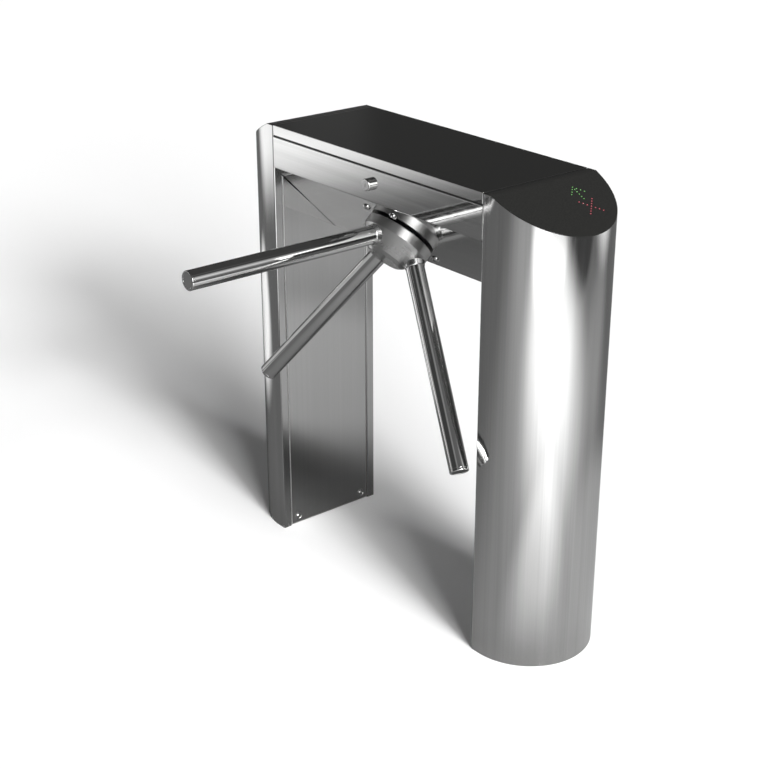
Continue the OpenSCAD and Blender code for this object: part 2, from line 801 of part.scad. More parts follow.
module lock_bolt() color("gainsboro") head() solenoid_axis() {
    tail = coil_in + coil_l + frame_t + bolt_stroke + contact_gap;
    rotate_extrude() polygon([
        [0, bolt_clear], [bolt_r - bolt_nose, bolt_clear], [bolt_r, bolt_clear + bolt_nose],
        [bolt_r, tail], [bolt_head_r, tail], [bolt_head_r, tail + bolt_head_t], [0, tail + bolt_head_t]
    ]);
}
module lock_bolt_right() lock_bolt();
module lock_bolt_left() on_left() lock_bolt();

module gear_motor() color([0.2, 0.2, 0.22]) head() translate([0, pinion_y, 0]) difference() {
    back = rear_plate_d + rear_plate_t;
    union() {
        slab(back - gearbox_boss_l, gearbox_boss_l + over) circle(gearbox_boss_r);
        slab(back, gearbox_l) circle(gearbox_r);
        slab(back + gearbox_l - lap, motor_l + lap) circle(motor_r);
    }
    slab(back - gearbox_boss_l - over, gearbox_boss_l + pinion_tail + over) circle(pinion_shaft_r + run_gap);
}

module encoder_sensor() color([0.12, 0.12, 0.14]) head() {
    back = rear_plate_d + rear_plate_t;
    difference() {
        translate([-fork_w / 2, fork_in, -back - fork_l]) cube([fork_w, fork_out - fork_in, fork_l]);
        translate([-fork_w / 2 - over, fork_in - over, -encoder_d - encoder_t - fork_gap])
            cube([fork_w + 2 * over, encoder_r + fork_gap - fork_in + over, encoder_t + 2 * fork_gap]);
    }
}

// Tripod rotor

function hub_profile() = [
    [0, hub_gap], [hub_rim_r - rim_edge, hub_gap],
    [hub_rim_r, hub_gap + rim_edge], [hub_rim_r, hub_rim_z - rim_edge],
    [hub_rim_r - rim_edge, hub_rim_z], [hub_front_r, hub_front_z], [hub_flat_r, hub_end_z], [0, hub_end_z]
];

module rotor_hub() color("silver") head() difference() {
    union() {
        rotate_extrude() polygon(hub_profile());
        for (turn = arm_turns) arm_axis(turn) rotate_extrude() polygon([
            [0, collar_foot], [collar_r, collar_foot], [collar_r, (collar_foot + collar_end) / 2],
            [collar_top_r, collar_end], [0, collar_end]
        ]);
    }
    for (turn = arm_turns) arm_axis(turn) {
        translate([0, 0, arm_foot]) cylinder(r = arm_r + hole_gap, h = arm_reach);
        translate([0, 0, clamp_l]) rotate([90, 0, 0]) cylinder(r = clamp_r, h = clamp_cut);
    }
    translate([0, 0, hub_end_z - cap_recess_h]) cylinder(r = cap_recess_r, h = cap_recess_h + over);
    translate([0, 0, hub_bolt_seat_z]) cylinder(r = hub_bolt_head_r + over, h = hub_end_z);
    translate([0, 0, hub_gap]) cylinder(r = hub_bolt_r + hole_gap, h = hub_end_z);
    translate([0, 0, hub_gap - over]) cylinder(r = spigot_r, h = spigot_z - hub_gap + over);
}

module hub_cap() color("gainsboro") head() {
    r = cap_recess_r - hole_gap;
    rotate_extrude() polygon([
        [0, hub_end_z - cap_recess_h], [r, hub_end_z - cap_recess_h], [r, hub_end_z - cap_edge],
        [r - cap_edge, hub_end_z], [0, hub_end_z]
    ]);
}

module hub_bolt() color("dimgray") head() difference() {
    union() {
        translate([0, 0, hub_bolt_seat_z]) cylinder(r = hub_bolt_head_r, h = hub_bolt_head_h);
        translate([0, 0, spigot_z / 2]) cylinder(r = hub_bolt_r, h = hub_bolt_seat_z - spigot_z / 2 + over);
    }
    translate([0, 0, hub_bolt_seat_z + hub_bolt_head_h / 2])
        cylinder(r = hub_bolt_key_r, h = hub_bolt_head_h, $fn = 6);
}

module arm(turn) color("gainsboro") head() arm_axis(turn) difference() {
    translate([0, 0, arm_foot]) cylinder(r = arm_r, h = arm_reach - end_cap_l - arm_foot);
    translate([0, 0, arm_foot - over]) cylinder(r = arm_r - arm_wall, h = arm_reach);
    translate([0, 0, clamp_l]) rotate([90, 0, 0]) cylinder(r = clamp_r + hole_gap, h = clamp_cut);
}
module arm_front() arm(arm_turns[0]);
module arm_right() arm(arm_turns[1]);
module arm_left() arm(arm_turns[2]);

module arm_end_caps() color("gainsboro") head() for (turn = arm_turns) arm_axis(turn)
    translate([0, 0, arm_reach - end_cap_l]) rotate_extrude() difference() {
        union() {
            square([arm_r - end_cap_edge, end_cap_l]);
            square([arm_r, end_cap_l - end_cap_edge]);
            translate([arm_r - end_cap_edge, end_cap_l - end_cap_edge]) circle(end_cap_edge, $fn = 32);
            translate([0, -end_cap_spigot]) square([arm_r - arm_wall - hole_gap, end_cap_spigot + over]);
        }
        translate([-arm_r, -arm_r]) square([arm_r, 2 * arm_r]);
    }

module arm_plugs() color("gray") head() for (turn = arm_turns) arm_axis(turn) difference() {
    translate([0, 0, arm_foot]) cylinder(r = arm_r - arm_wall - hole_gap, h = plug_l);
    translate([0, -clamp_in, clamp_l]) rotate([90, 0, 0]) cylinder(r = clamp_r, h = arm_r);
}

module arm_clamp_screws() color("dimgray") head() for (turn = arm_turns) arm_axis(turn)
    translate([0, -clamp_in, clamp_l]) rotate([90, 0, 0]) difference() {
        cylinder(r = clamp_r, h = clamp_out - clamp_in);
        translate([0, 0, clamp_out - clamp_in - clamp_r])
            cylinder(r = clamp_r / 2, h = clamp_r + over, $fn = 6);
    }

module main_shaft() color("lightgray") head() difference() {
    rotate_extrude() polygon([
        [0, spigot_z], [spigot_r, spigot_z], [spigot_r, hub_gap], [flange_r, hub_gap], [flange_r, -flange_d],
        [shaft_r, -flange_d], [shaft_r, -shaft_shoulder_d],
        [shaft_mid_r, -shaft_shoulder_d], [shaft_mid_r, -rear_plate_d],
        [shaft_rear_r, -rear_plate_d], [shaft_rear_r, -shaft_end_d], [shaft_end_r, -shaft_end_d],
        [shaft_end_r, -shaft_end_d - shaft_tail], [0, -shaft_end_d - shaft_tail]
    ]);
    translate([0, 0, spigot_z / 2 - over]) cylinder(r = hub_bolt_r, h = spigot_z);
}

module locking_disc() color("darkgray") head() difference() {
    union() {
        slab(disc_d, disc_t) circle(disc_r);
        slab(disc_d - (disc_boss_t - disc_t) / 2, disc_boss_t) circle(boss_r);
    }
    slab(disc_d - disc_boss_t, 3 * disc_boss_t) circle(shaft_mid_r);
    for (i = [0:notch_count - 1]) rotate([0, 0, i * 360 / notch_count])
        translate([disc_r - notch_depth, -bolt_r - notch_gap, -disc_d - disc_t - over])
            cube([notch_depth + over, 2 * (bolt_r + notch_gap), disc_t + 2 * over]);
}

module drive_gear() color("goldenrod") head() difference() {
    union() {
        slab(gear_d, gear_w) polygon(gear_points(gear_teeth));
        slab(gear_d - (gear_boss_t - gear_w) / 2, gear_boss_t) circle(boss_r);
    }
    slab(gear_d - gear_boss_t, 3 * gear_boss_t) circle(shaft_mid_r);
    for (i = [0:gear_hole_count - 1]) rotate([0, 0, i * 360 / gear_hole_count])
        translate([gear_hole_pcd_r, 0, 0]) slab(gear_d - over, gear_w + 2 * over) circle(gear_hole_r);
}

module encoder_disc() color([0.3, 0.3, 0.3]) head() difference() {
    union() {
        slab(encoder_d, encoder_t) circle(encoder_r);
        slab(shaft_end_d, encoder_hub_t) circle(encoder_hub_r);
    }
    slab(shaft_end_d - over, encoder_hub_t + 2 * over) circle(shaft_end_r);
    for (i = [0:encoder_slots - 1]) rotate([0, 0, i * 360 / encoder_slots])
        translate([encoder_r - encoder_rim - encoder_slot_l, -encoder_slot_w / 2, 0])
            slab(encoder_d - over, encoder_t + 2 * over) square([encoder_slot_l, encoder_slot_w]);
}

module motor_pinion() color("goldenrod") head() translate([0, pinion_y, 0]) {
    slab(gear_d - pinion_over, gear_w + 2 * pinion_over)
        rotate(90 + 180 / pinion_teeth) polygon(gear_points(pinion_teeth));
    slab(gear_d + gear_w, rear_plate_d + rear_plate_t - gear_d - gear_w + pinion_tail - over)
        circle(pinion_shaft_r);
}

// Electronics

module control_board() {
    z = floor_z + sheet;
    color("silver") difference() {
        translate([tray_x - tray_l / 2, tray_y - tray_w / 2, z]) cube([tray_l, tray_w, tray_lip]);
        translate([tray_x - tray_l / 2 - over, tray_y - tray_w / 2 + sheet, z + sheet])
            cube([tray_l + 2 * over, tray_w - 2 * sheet, tray_lip]);
    }
    color("silver") for (x = [standoff_in, pcb_l - standoff_in], y = [standoff_in, pcb_w - standoff_in])
        translate([tray_x - pcb_l / 2 + x, tray_y - pcb_w / 2 + y, z + sheet - lap])
            cylinder(r = standoff_r, h = lap + pcb_lift + pcb_t / 2, $fn = 24);
    translate([tray_x - pcb_l / 2, tray_y - pcb_w / 2, z + sheet + pcb_lift]) {
        color("darkgreen") cube([pcb_l, pcb_w, pcb_t]);
        color("royalblue") for (i = [0:relay_count - 1])
            translate([standoff_in + relay_size[0] / 2 + i * relay_pitch, pcb_w - relay_back, 0])
                cube(relay_size + [0, 0, pcb_t]);
        color("limegreen") translate([pcb_l - terminal_size[0] - 2 * standoff_in, terminal_in, 0])
            cube(terminal_size + [0, 0, pcb_t]);
        color("dimgray") translate([pcb_l - 2 * capacitor_r, pcb_w / 2, 0])
            cylinder(r = capacitor_r, h = capacitor_h);
    }
}

module power_supply() color("lightgray") difference() {
    x = supply_x - supply_l / 2;
    translate([x, tray_y - supply_w / 2, floor_z + sheet]) cube([supply_l, supply_w, supply_h]);
    translate([x - over, tray_y - supply_w / 2 + sheet, floor_z + sheet + supply_ledge_h])
        cube([supply_ledge_l + over, supply_w - 2 * sheet, supply_h]);
}

// Lid and hinges

module lid_tray() color("silver") {
    half_l = inner_x - cap_seam;
    difference() {
        translate([-half_l, -half_depth, height - lid_h]) cube([2 * half_l, depth, lid_h]);
        translate([sheet - half_l, sheet - half_depth, height - lid_h - over])
            cube([2 * (half_l - sheet), depth - 2 * sheet, lid_h - panel_top_t - sheet + over]);
        translate([sheet - half_l, sheet - half_depth, height - panel_top_t])
            cube([2 * (half_l - sheet), depth - 2 * sheet, panel_top_t + over]);
    }
}

module lid_panel() color([0.12, 0.12, 0.12]) {
    half_l = inner_x - cap_seam - sheet - lid_gap;
    half_w = half_depth - sheet - lid_gap;
    translate([-half_l, -half_w, height - panel_top_t]) cube([2 * half_l, 2 * half_w, panel_top_t]);
}

// Bracket under the lid; the lock's tongue turns in above its ledge
module lid_catch() color("gray") {
    low = lock_z - cam_w / 2 - 2 * catch_t;
    top = height - panel_top_t - sheet;
    translate([catch_x, catch_y, low]) cube([catch_w, catch_t, top - low]);
    translate([catch_x, catch_y - catch_ledge, low]) cube([catch_w, catch_ledge + catch_t, catch_t]);
    translate([catch_x, catch_y, top - catch_t]) cube([catch_w, 2 * catch_ledge, catch_t]);
}

module at_hinges() for (x = [-hinge_x, hinge_x]) translate([x, 0, 0]) children();

// Knuckles from x to x + l on the hinge axis, with a web to the leaf's side
module knuckle(x, l, bore_r, up) difference() {
    union() {
        translate([x, hinge_y, hinge_z]) rotate([0, 90, 0]) cylinder(r = knuckle_r, h = l);
        translate([x, half_depth, up ? hinge_z : hinge_z - leaf_keep - over])
            cube([l, leaf_t, leaf_keep + over]);
    }
    translate([x - over, hinge_y, hinge_z]) rotate([0, 90, 0]) cylinder(r = bore_r, h = l + 2 * over);
}

module hinge_fixed_leaves() color("silver") at_hinges() {
    translate([-hinge_l / 2, half_depth, hinge_z - leaf_h]) cube([hinge_l, leaf_t, leaf_h - leaf_keep]);
    knuckle(-hinge_l / 2, hinge_l / 3, hinge_pin_r, false);
    knuckle(hinge_l / 6, hinge_l / 3, hinge_pin_r, false);
}

module hinge_moving_leaves() color("silver") at_hinges() {
    translate([-hinge_l / 2, half_depth, hinge_z + leaf_keep]) cube([hinge_l, leaf_t, leaf_up - leaf_keep]);
    knuckle(-hinge_l / 6 + contact_gap, hinge_l / 3 - 2 * contact_gap, hinge_pin_r + run_gap, true);
}

module hinge_pins() color("gainsboro") at_hinges() translate([-hinge_l / 2, hinge_y, hinge_z])
    rotate([0, 90, 0]) cylinder(r = hinge_pin_r, h = hinge_l);

// Lock, along +Y from its front face

module lock_axis() translate([0, -half_depth - lock_head_l, lock_z]) rotate([-90, 0, 0]) children();

module lock_housing() color("gainsboro") lock_axis() difference() {
    rotate_extrude() polygon([
        [0, 0], [lock_head_r - lock_edge, 0], [lock_head_r, lock_edge], [lock_head_r, lock_head_l],
        [lock_body_r, lock_head_l], [lock_body_r, lock_head_l + lock_body_l], [0, lock_head_l + lock_body_l]
    ]);
    translate([0, 0, -over]) cylinder(r = lock_core_r + run_gap, h = lock_head_l + lock_body_l + 2 * over);
}

module lock_nut() color("silver") lock_axis() translate([0, 0, lock_head_l + sheet]) difference() {
    cylinder(r = lock_nut_r, h = lock_nut_t, $fn = 6);
    translate([0, 0, -over]) cylinder(r = lock_body_r, h = lock_nut_t + 2 * over);
}

module lock_cylinder() color("darkgray") lock_axis() difference() {
    union() {
        cylinder(r = lock_core_r, h = lock_head_l + lock_body_l + cam_gap);
        cylinder(r = lock_tail_r, h = lock_head_l + lock_body_l + lock_tail_l);
    }
    translate([-keyway_w / 2, -keyway_h / 2, -over]) cube([keyway_w, keyway_h, keyway_l + over]);
}

module lock_cam() color("gray") lock_axis() translate([0, 0, lock_head_l + lock_body_l + cam_gap])
    difference() {
        union() {
            cylinder(r = cam_hub_r, h = cam_t);
            translate([-cam_w / 2, -cam_l, 0]) cube([cam_w, cam_l, cam_t]);
        }
        translate([0, 0, -over]) cylinder(r = lock_tail_r, h = cam_t + 2 * over);
    }

pedestal_skin_left();
pedestal_skin_right();
base_plate_left();
base_plate_right();
inner_panel_left();
inner_panel_right();
panel_screws();
end_cap_left();
end_cap_right();
indicator_boards();
arrow_leds();
cross_leds();
bridge_shell();
end_plates();
bridge_bolts();
cable_grommets();
lid_seal();
hinge_fixed_leaves();
hinge_pins();
lock_housing();
lock_nut();
face_screws();
front_plate();
rear_plate();
spacer_posts();
bearing_housing();
bearing_cover();
housing_screws();
bearing_outer_rings();
bearing_balls();
hub_seal();
solenoid_frames();
solenoid_coils();
gear_motor();
encoder_sensor();
control_board();
power_supply();
rotor_hub();
hub_cap();
hub_bolt();
arm_front();
arm_left();
arm_right();
arm_end_caps();
arm_plugs();
arm_clamp_screws();
main_shaft();
bearing_inner_rings();
locking_disc();
drive_gear();
encoder_disc();
motor_pinion();
lock_bolt_left();
lock_bolt_right();
lid_tray();
lid_panel();
lid_catch();
hinge_moving_leaves();
lock_cylinder();
lock_cam();
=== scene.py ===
import json
import math

import bmesh
import bpy
from mathutils import Matrix, Vector


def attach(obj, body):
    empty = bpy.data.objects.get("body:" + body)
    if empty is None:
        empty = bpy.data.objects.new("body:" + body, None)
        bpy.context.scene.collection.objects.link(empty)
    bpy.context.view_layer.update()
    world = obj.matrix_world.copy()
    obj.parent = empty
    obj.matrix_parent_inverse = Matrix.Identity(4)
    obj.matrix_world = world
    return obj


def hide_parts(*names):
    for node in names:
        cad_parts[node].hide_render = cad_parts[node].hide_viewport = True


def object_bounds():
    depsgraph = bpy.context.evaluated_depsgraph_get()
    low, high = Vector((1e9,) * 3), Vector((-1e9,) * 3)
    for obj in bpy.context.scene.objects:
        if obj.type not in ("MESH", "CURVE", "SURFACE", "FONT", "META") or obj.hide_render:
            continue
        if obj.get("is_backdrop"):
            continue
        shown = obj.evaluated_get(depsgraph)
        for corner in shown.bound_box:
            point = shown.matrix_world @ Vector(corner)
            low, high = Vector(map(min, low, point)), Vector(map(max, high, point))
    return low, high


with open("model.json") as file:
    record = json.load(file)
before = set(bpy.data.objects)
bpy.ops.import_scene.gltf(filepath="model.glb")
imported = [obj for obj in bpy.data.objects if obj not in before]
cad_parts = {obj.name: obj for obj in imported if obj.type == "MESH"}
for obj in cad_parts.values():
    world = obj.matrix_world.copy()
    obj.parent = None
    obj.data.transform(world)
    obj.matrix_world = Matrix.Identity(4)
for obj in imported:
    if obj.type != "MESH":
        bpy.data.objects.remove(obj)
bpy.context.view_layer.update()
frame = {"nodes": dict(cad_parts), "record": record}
scene = bpy.context.scene
mm = 0.001
print("frame loaded:", len(frame["nodes"]), "nodes")

# The photo's view, fitted to its edges
camera = {
    "place": (2326.63, -1999.32, 1795.33),  # mm
    "target": (-661.37, 436.68, 116.52),  # mm
    "lens": 70.70,
    "sensor": 36.0,
    "roll": -0.02,  # degrees
    "clip": (0.1, 200),  # metres
}


def addCamera(values):
    data = bpy.data.cameras.new("Camera")
    data.lens = values["lens"]
    data.sensor_width = values["sensor"]
    data.clip_start, data.clip_end = values["clip"]
    cameraObject = bpy.data.objects.new("Camera", data)
    scene.collection.objects.link(cameraObject)
    place = Vector(values["place"]) * mm
    look = Vector(values["target"]) * mm - place
    turn = look.to_track_quat("-Z", "Y").to_matrix().to_4x4()
    roll = Matrix.Rotation(math.radians(values["roll"]), 4, "Z")
    cameraObject.matrix_world = Matrix.Translation(place) @ turn @ roll
    scene.camera = cameraObject


addCamera(camera)
scene.view_settings.view_transform = "Standard"
print("camera placed")


# A node group with named sockets, and its own input and output nodes
def newGroup(name, inputs, outputs):
    group = bpy.data.node_groups.new(name, "ShaderNodeTree")
    for label, kind, value in inputs:
        socket = group.interface.new_socket(label, in_out="INPUT", socket_type=kind)
        if value is not None:
            socket.default_value = value
    for label, kind in outputs:
        group.interface.new_socket(label, in_out="OUTPUT", socket_type=kind)
    return group, group.nodes.new("NodeGroupInput"), group.nodes.new("NodeGroupOutput")


# Values go to input sockets, settings to the node itself
def addNode(tree, kind, values=None, **settings):
    node = tree.nodes.new(kind)
    for key, value in settings.items():
        setattr(node, key, value)
    for key, value in (values or {}).items():
        node.inputs[key].default_value = value
    return node


def addMath(tree, operation, first, second=None, third=None, clamp=False):
    node = addNode(tree, "ShaderNodeMath", operation=operation, use_clamp=clamp)
    for index, value in enumerate((first, second, third)):
        if value is None:
            continue
        if isinstance(value, (int, float)):
            node.inputs[index].default_value = value
        else:
            tree.links.new(value, node.inputs[index])
    return node.outputs[0]


# A ramp from one colour to another between two stops
def addRamp(tree, source, stops, first, last):
    node = addNode(tree, "ShaderNodeValToRGB")
    for element, position, color in zip(node.color_ramp.elements, stops, (first, last)):
        element.position = position
        element.color = (*color, 1)
    tree.links.new(source, node.inputs["Fac"])
    return node.outputs["Color"]


# Long fine streaks of a brushed sheet. Stretch is the number of streaks a metre along each axis.
grainGroup, groupIn, groupOut = newGroup(
    "BrushedGrain",
    [("Vector", "NodeSocketVector", None), ("Stretch", "NodeSocketVector", (400, 400, 4))],
    [("Streak", "NodeSocketFloat"), ("Broad", "NodeSocketFloat")],
)
scaled = addNode(grainGroup, "ShaderNodeVectorMath", operation="MULTIPLY")
grainGroup.links.new(groupIn.outputs["Vector"], scaled.inputs[0])
grainGroup.links.new(groupIn.outputs["Stretch"], scaled.inputs[1])
fine = addNode(grainGroup, "ShaderNodeTexNoise", {"Scale": 1.0, "Detail": 3.0, "Roughness": 0.6})
grainGroup.links.new(scaled.outputs[0], fine.inputs["Vector"])
broad = addNode(grainGroup, "ShaderNodeTexNoise", {"Scale": 0.17, "Detail": 2.0, "Roughness": 0.5})
grainGroup.links.new(scaled.outputs[0], broad.inputs["Vector"])
grainGroup.links.new(fine.outputs["Fac"], groupOut.inputs["Streak"])
grainGroup.links.new(broad.outputs["Fac"], groupOut.inputs["Broad"])

# Rings left by turning or round polishing, about the piece's own Z axis.
turnedGroup, groupIn, groupOut = newGroup(
    "TurnedGrain",
    [("Vector", "NodeSocketVector", None), ("Rings", "NodeSocketFloat", 900.0)],
    [("Streak", "NodeSocketFloat"), ("Broad", "NodeSocketFloat")],
)
split = addNode(turnedGroup, "ShaderNodeSeparateXYZ")
turnedGroup.links.new(groupIn.outputs["Vector"], split.inputs[0])
squared = addMath(turnedGroup, "MULTIPLY", split.outputs["X"], split.outputs["X"])
radius = addMath(turnedGroup, "MULTIPLY_ADD", split.outputs["Y"], split.outputs["Y"], squared)
radius = addMath(turnedGroup, "SQRT", radius)
joined = addNode(turnedGroup, "ShaderNodeCombineXYZ")
turnedGroup.links.new(radius, joined.inputs["X"])
turnedGroup.links.new(split.outputs["Z"], joined.inputs["Y"])
rings = addNode(turnedGroup, "ShaderNodeTexNoise", {"Detail": 3.0, "Roughness": 0.6})
turnedGroup.links.new(joined.outputs[0], rings.inputs["Vector"])
turnedGroup.links.new(groupIn.outputs["Rings"], rings.inputs["Scale"])
broad = addNode(turnedGroup, "ShaderNodeTexNoise", {"Scale": 22.0, "Detail": 2.0})
turnedGroup.links.new(groupIn.outputs["Vector"], broad.inputs["Vector"])
turnedGroup.links.new(rings.outputs["Fac"], groupOut.inputs["Streak"])
turnedGroup.links.new(broad.outputs["Fac"], groupOut.inputs["Broad"])

# Faint hand marks, and patches towards the floor: Marks is patchy, NearFloor is patchy and fades
# out 9 cm above the floor.
marksGroup, groupIn, groupOut = newGroup(
    "HandMarks",
    [("Vector", "NodeSocketVector", None), ("Scale", "NodeSocketFloat", 9.0)],
    [("Marks", "NodeSocketFloat"), ("NearFloor", "NodeSocketFloat")],
)
patches = addNode(marksGroup, "ShaderNodeTexNoise",
                  {"Detail": 5.0, "Roughness": 0.62, "Distortion": 0.4})
marksGroup.links.new(groupIn.outputs["Vector"], patches.inputs["Vector"])
marksGroup.links.new(groupIn.outputs["Scale"], patches.inputs["Scale"])
marks = addNode(marksGroup, "ShaderNodeMapRange", {"From Min": 0.48, "From Max": 0.72})
marksGroup.links.new(patches.outputs["Fac"], marks.inputs["Value"])
split = addNode(marksGroup, "ShaderNodeSeparateXYZ")
marksGroup.links.new(groupIn.outputs["Vector"], split.inputs[0])
low = addNode(marksGroup, "ShaderNodeMapRange", {"From Min": 0.09, "From Max": 0.0})
marksGroup.links.new(split.outputs["Z"], low.inputs["Value"])
nearFloor = addMath(marksGroup, "MULTIPLY", low.outputs[0], patches.outputs["Fac"])
marksGroup.links.new(marks.outputs[0], groupOut.inputs["Marks"])
marksGroup.links.new(nearFloor, groupOut.inputs["NearFloor"])
print("shared effects built")

# What the finishes share; bump distances in metres
sharedLook = {"steelBlue": 0.995, "nearFloorColor": (0.30, 0.29, 0.27, 1), "nearFloorMix": 0.35, "nearFloorRough": 0.3,
        "toneStops": (0.35, 0.65), "streakSpan": (0.3, 0.7), "metalBump": 0.0005,
        "plasticBump": 0.0003, "plasticMarks": 6.0}
lensLook = {"sparkScale": 900.0, "dim": 0.6, "glowStops": (0.3, 0.6), "bodyStops": (0.3, 0.7),
            "roughness": 0.15}

# Grey steel tones are single numbers; stretch is streaks a metre, rings are for turned pieces
metals = {
    "satin_steel": {"group": "BrushedGrain", "stretch": (260, 260, 1.2), "dark": 0.60,
                    "light": 0.70, "rough": (0.05, 0.11), "marks": 0.03, "bump": 0.02},
    "bridge_steel": {"group": "BrushedGrain", "stretch": (1.2, 260, 260), "dark": 0.60,
                     "light": 0.70, "rough": (0.03, 0.07), "marks": 0.02, "bump": 0.01},
    "panel_steel": {"group": "BrushedGrain", "stretch": (260, 260, 1.2), "dark": 0.645,
                    "light": 0.69, "rough": (0.06, 0.08), "marks": 0.02, "bump": 0.005},
    "sheared_edge": {"group": "BrushedGrain", "stretch": (260, 260, 1.2), "dark": 0.62,
                     "light": 0.74, "rough": (0.40, 0.50), "marks": 0.03, "bump": 0.01},
    "polished_steel": {"group": "TurnedGrain", "rings": 1400.0, "dark": 0.68,
                       "light": 0.76, "rough": (0.02, 0.06), "marks": 0.03, "bump": 0.01},
    "hub_steel": {"group": "TurnedGrain", "rings": 1100.0, "dark": 0.61,
                  "light": 0.64, "rough": (0.20, 0.22), "marks": 0.02, "bump": 0.002},
    "zinc_steel": {"group": "BrushedGrain", "stretch": (90, 90, 90), "dark": 0.50,
                   "light": 0.66, "rough": (0.25, 0.42), "marks": 0.10, "bump": 0.04},
    "plate_steel": {"group": "BrushedGrain", "stretch": (60, 60, 60), "dark": 0.22,
                    "light": 0.34, "rough": (0.38, 0.55), "marks": 0.08, "bump": 0.06},
    "ground_steel": {"group": "BrushedGrain", "stretch": (500, 500, 500), "dark": 0.60,
                     "light": 0.72, "rough": (0.10, 0.22), "marks": 0.05, "bump": 0.02},
    "gear_brass": {"group": "BrushedGrain", "stretch": (300, 300, 300), "dark": (0.62, 0.44, 0.17),
                   "light": (0.76, 0.57, 0.26), "rough": (0.20, 0.34), "marks": 0.08, "bump": 0.03},
    "supply_case": {"group": "BrushedGrain", "stretch": (30, 400, 400), "dark": 0.55,
                    "light": 0.68, "rough": (0.30, 0.42), "marks": 0.08, "bump": 0.03},
    "plug_plastic": {"group": "BrushedGrain", "stretch": (200, 200, 200), "dark": 0.48,
                     "light": 0.62, "rough": (0.28, 0.40), "marks": 0.05, "bump": 0.03},
}
plastics = {
    "black_gloss": {"dark": (0.032, 0.032, 0.031), "light": (0.040, 0.040, 0.038),
                    "rough": (0.08, 0.13), "grain": 420.0, "bump": 0.01, "shine": 0.2},
    "black_rubber": {"dark": (0.012, 0.012, 0.012), "light": (0.035, 0.035, 0.034),
                     "rough": (0.62, 0.8), "grain": 700.0, "bump": 0.15},
    "coil_wrap": {"dark": (0.42, 0.17, 0.05), "light": (0.62, 0.30, 0.10),
                  "rough": (0.35, 0.5), "grain": 260.0, "bump": 0.12},
    "motor_black": {"dark": (0.03, 0.03, 0.035), "light": (0.07, 0.07, 0.08),
                    "rough": (0.35, 0.5), "grain": 600.0, "bump": 0.08},
    "sensor_plastic": {"dark": (0.03, 0.03, 0.035), "light": (0.06, 0.06, 0.07),
                       "rough": (0.4, 0.55), "grain": 800.0, "bump": 0.08},
    "board_green": {"dark": (0.01, 0.10, 0.035), "light": (0.03, 0.22, 0.08),
                    "rough": (0.25, 0.4), "grain": 160.0, "bump": 0.03},
}
lenses = {
    "green_lens": {"body": (0.30, 0.55, 0.25), "glow": (0.42, 0.80, 0.36), "strength": 0.9},
    "red_lens": {"body": (0.55, 0.20, 0.22), "glow": (0.85, 0.30, 0.34), "strength": 0.9},
    # The bezels glow faintly: painted glow, the lens's light painted on the dark ring round it
    "green_bezel": {"body": (0.012, 0.07, 0.010), "glow": (0.03, 0.14, 0.02), "strength": 0.25},
    "red_bezel": {"body": (0.09, 0.008, 0.012), "glow": (0.20, 0.015, 0.03), "strength": 0.35},
}


# A plain number is a steel grey, a little warm
def asColor(value):
    return value if isinstance(value, tuple) else (value, value, value * sharedLook["steelBlue"])


def addBump(tree, shader, height, strength, distance):
    bump = addNode(tree, "ShaderNodeBump", {"Strength": strength, "Distance": distance})
    tree.links.new(height, bump.inputs["Height"])
    tree.links.new(bump.outputs["Normal"], shader.inputs["Normal"])


def startMaterial(name):
    material = bpy.data.materials.new(name)
    material.use_nodes = True
    tree = material.node_tree
    shader = tree.nodes["Principled BSDF"]
    coords = addNode(tree, "ShaderNodeTexCoord").outputs["Object"]
    return material, tree, shader, coords


def makeMetal(name, values):
    material, tree, shader, coords = startMaterial(name)
    shader.inputs["Metallic"].default_value = 1.0
    grain = addNode(tree, "ShaderNodeGroup", node_tree=bpy.data.node_groups[values["group"]])
    tree.links.new(coords, grain.inputs["Vector"])
    if "stretch" in values:
        grain.inputs["Stretch"].default_value = values["stretch"]
    else:
        grain.inputs["Rings"].default_value = values["rings"]
    marks = addNode(tree, "ShaderNodeGroup", node_tree=bpy.data.node_groups["HandMarks"])
    tree.links.new(coords, marks.inputs["Vector"])
    both = addMath(tree, "ADD", grain.outputs["Streak"], grain.outputs["Broad"])
    tone = addRamp(tree, addMath(tree, "MULTIPLY", both, 0.5), sharedLook["toneStops"],
                   asColor(values["dark"]), asColor(values["light"]))
    # Base colour goes towards a darker grey in the NearFloor patches, and roughness rises there
    nearFloorTint = addNode(tree, "ShaderNodeMixRGB", {"Color2": sharedLook["nearFloorColor"]}, blend_type="MIX")
    nearFloor = addMath(tree, "MULTIPLY", marks.outputs["NearFloor"], sharedLook["nearFloorMix"])
    tree.links.new(nearFloor, nearFloorTint.inputs["Fac"])
    tree.links.new(tone, nearFloorTint.inputs["Color1"])
    tree.links.new(nearFloorTint.outputs["Color"], shader.inputs["Base Color"])
    spanLow, spanHigh = sharedLook["streakSpan"]
    smooth, coarse = values["rough"]
    rough = addNode(tree, "ShaderNodeMapRange",
                    {"From Min": spanLow, "From Max": spanHigh, "To Min": smooth, "To Max": coarse})
    tree.links.new(grain.outputs["Streak"], rough.inputs["Value"])
    worn = addMath(tree, "MULTIPLY_ADD", marks.outputs["Marks"], values["marks"], rough.outputs[0])
    nearFloorRoughness = addMath(tree, "MULTIPLY_ADD", marks.outputs["NearFloor"], sharedLook["nearFloorRough"], worn)
    tree.links.new(nearFloorRoughness, shader.inputs["Roughness"])
    addBump(tree, shader, grain.outputs["Streak"], values["bump"], sharedLook["metalBump"])
    return material


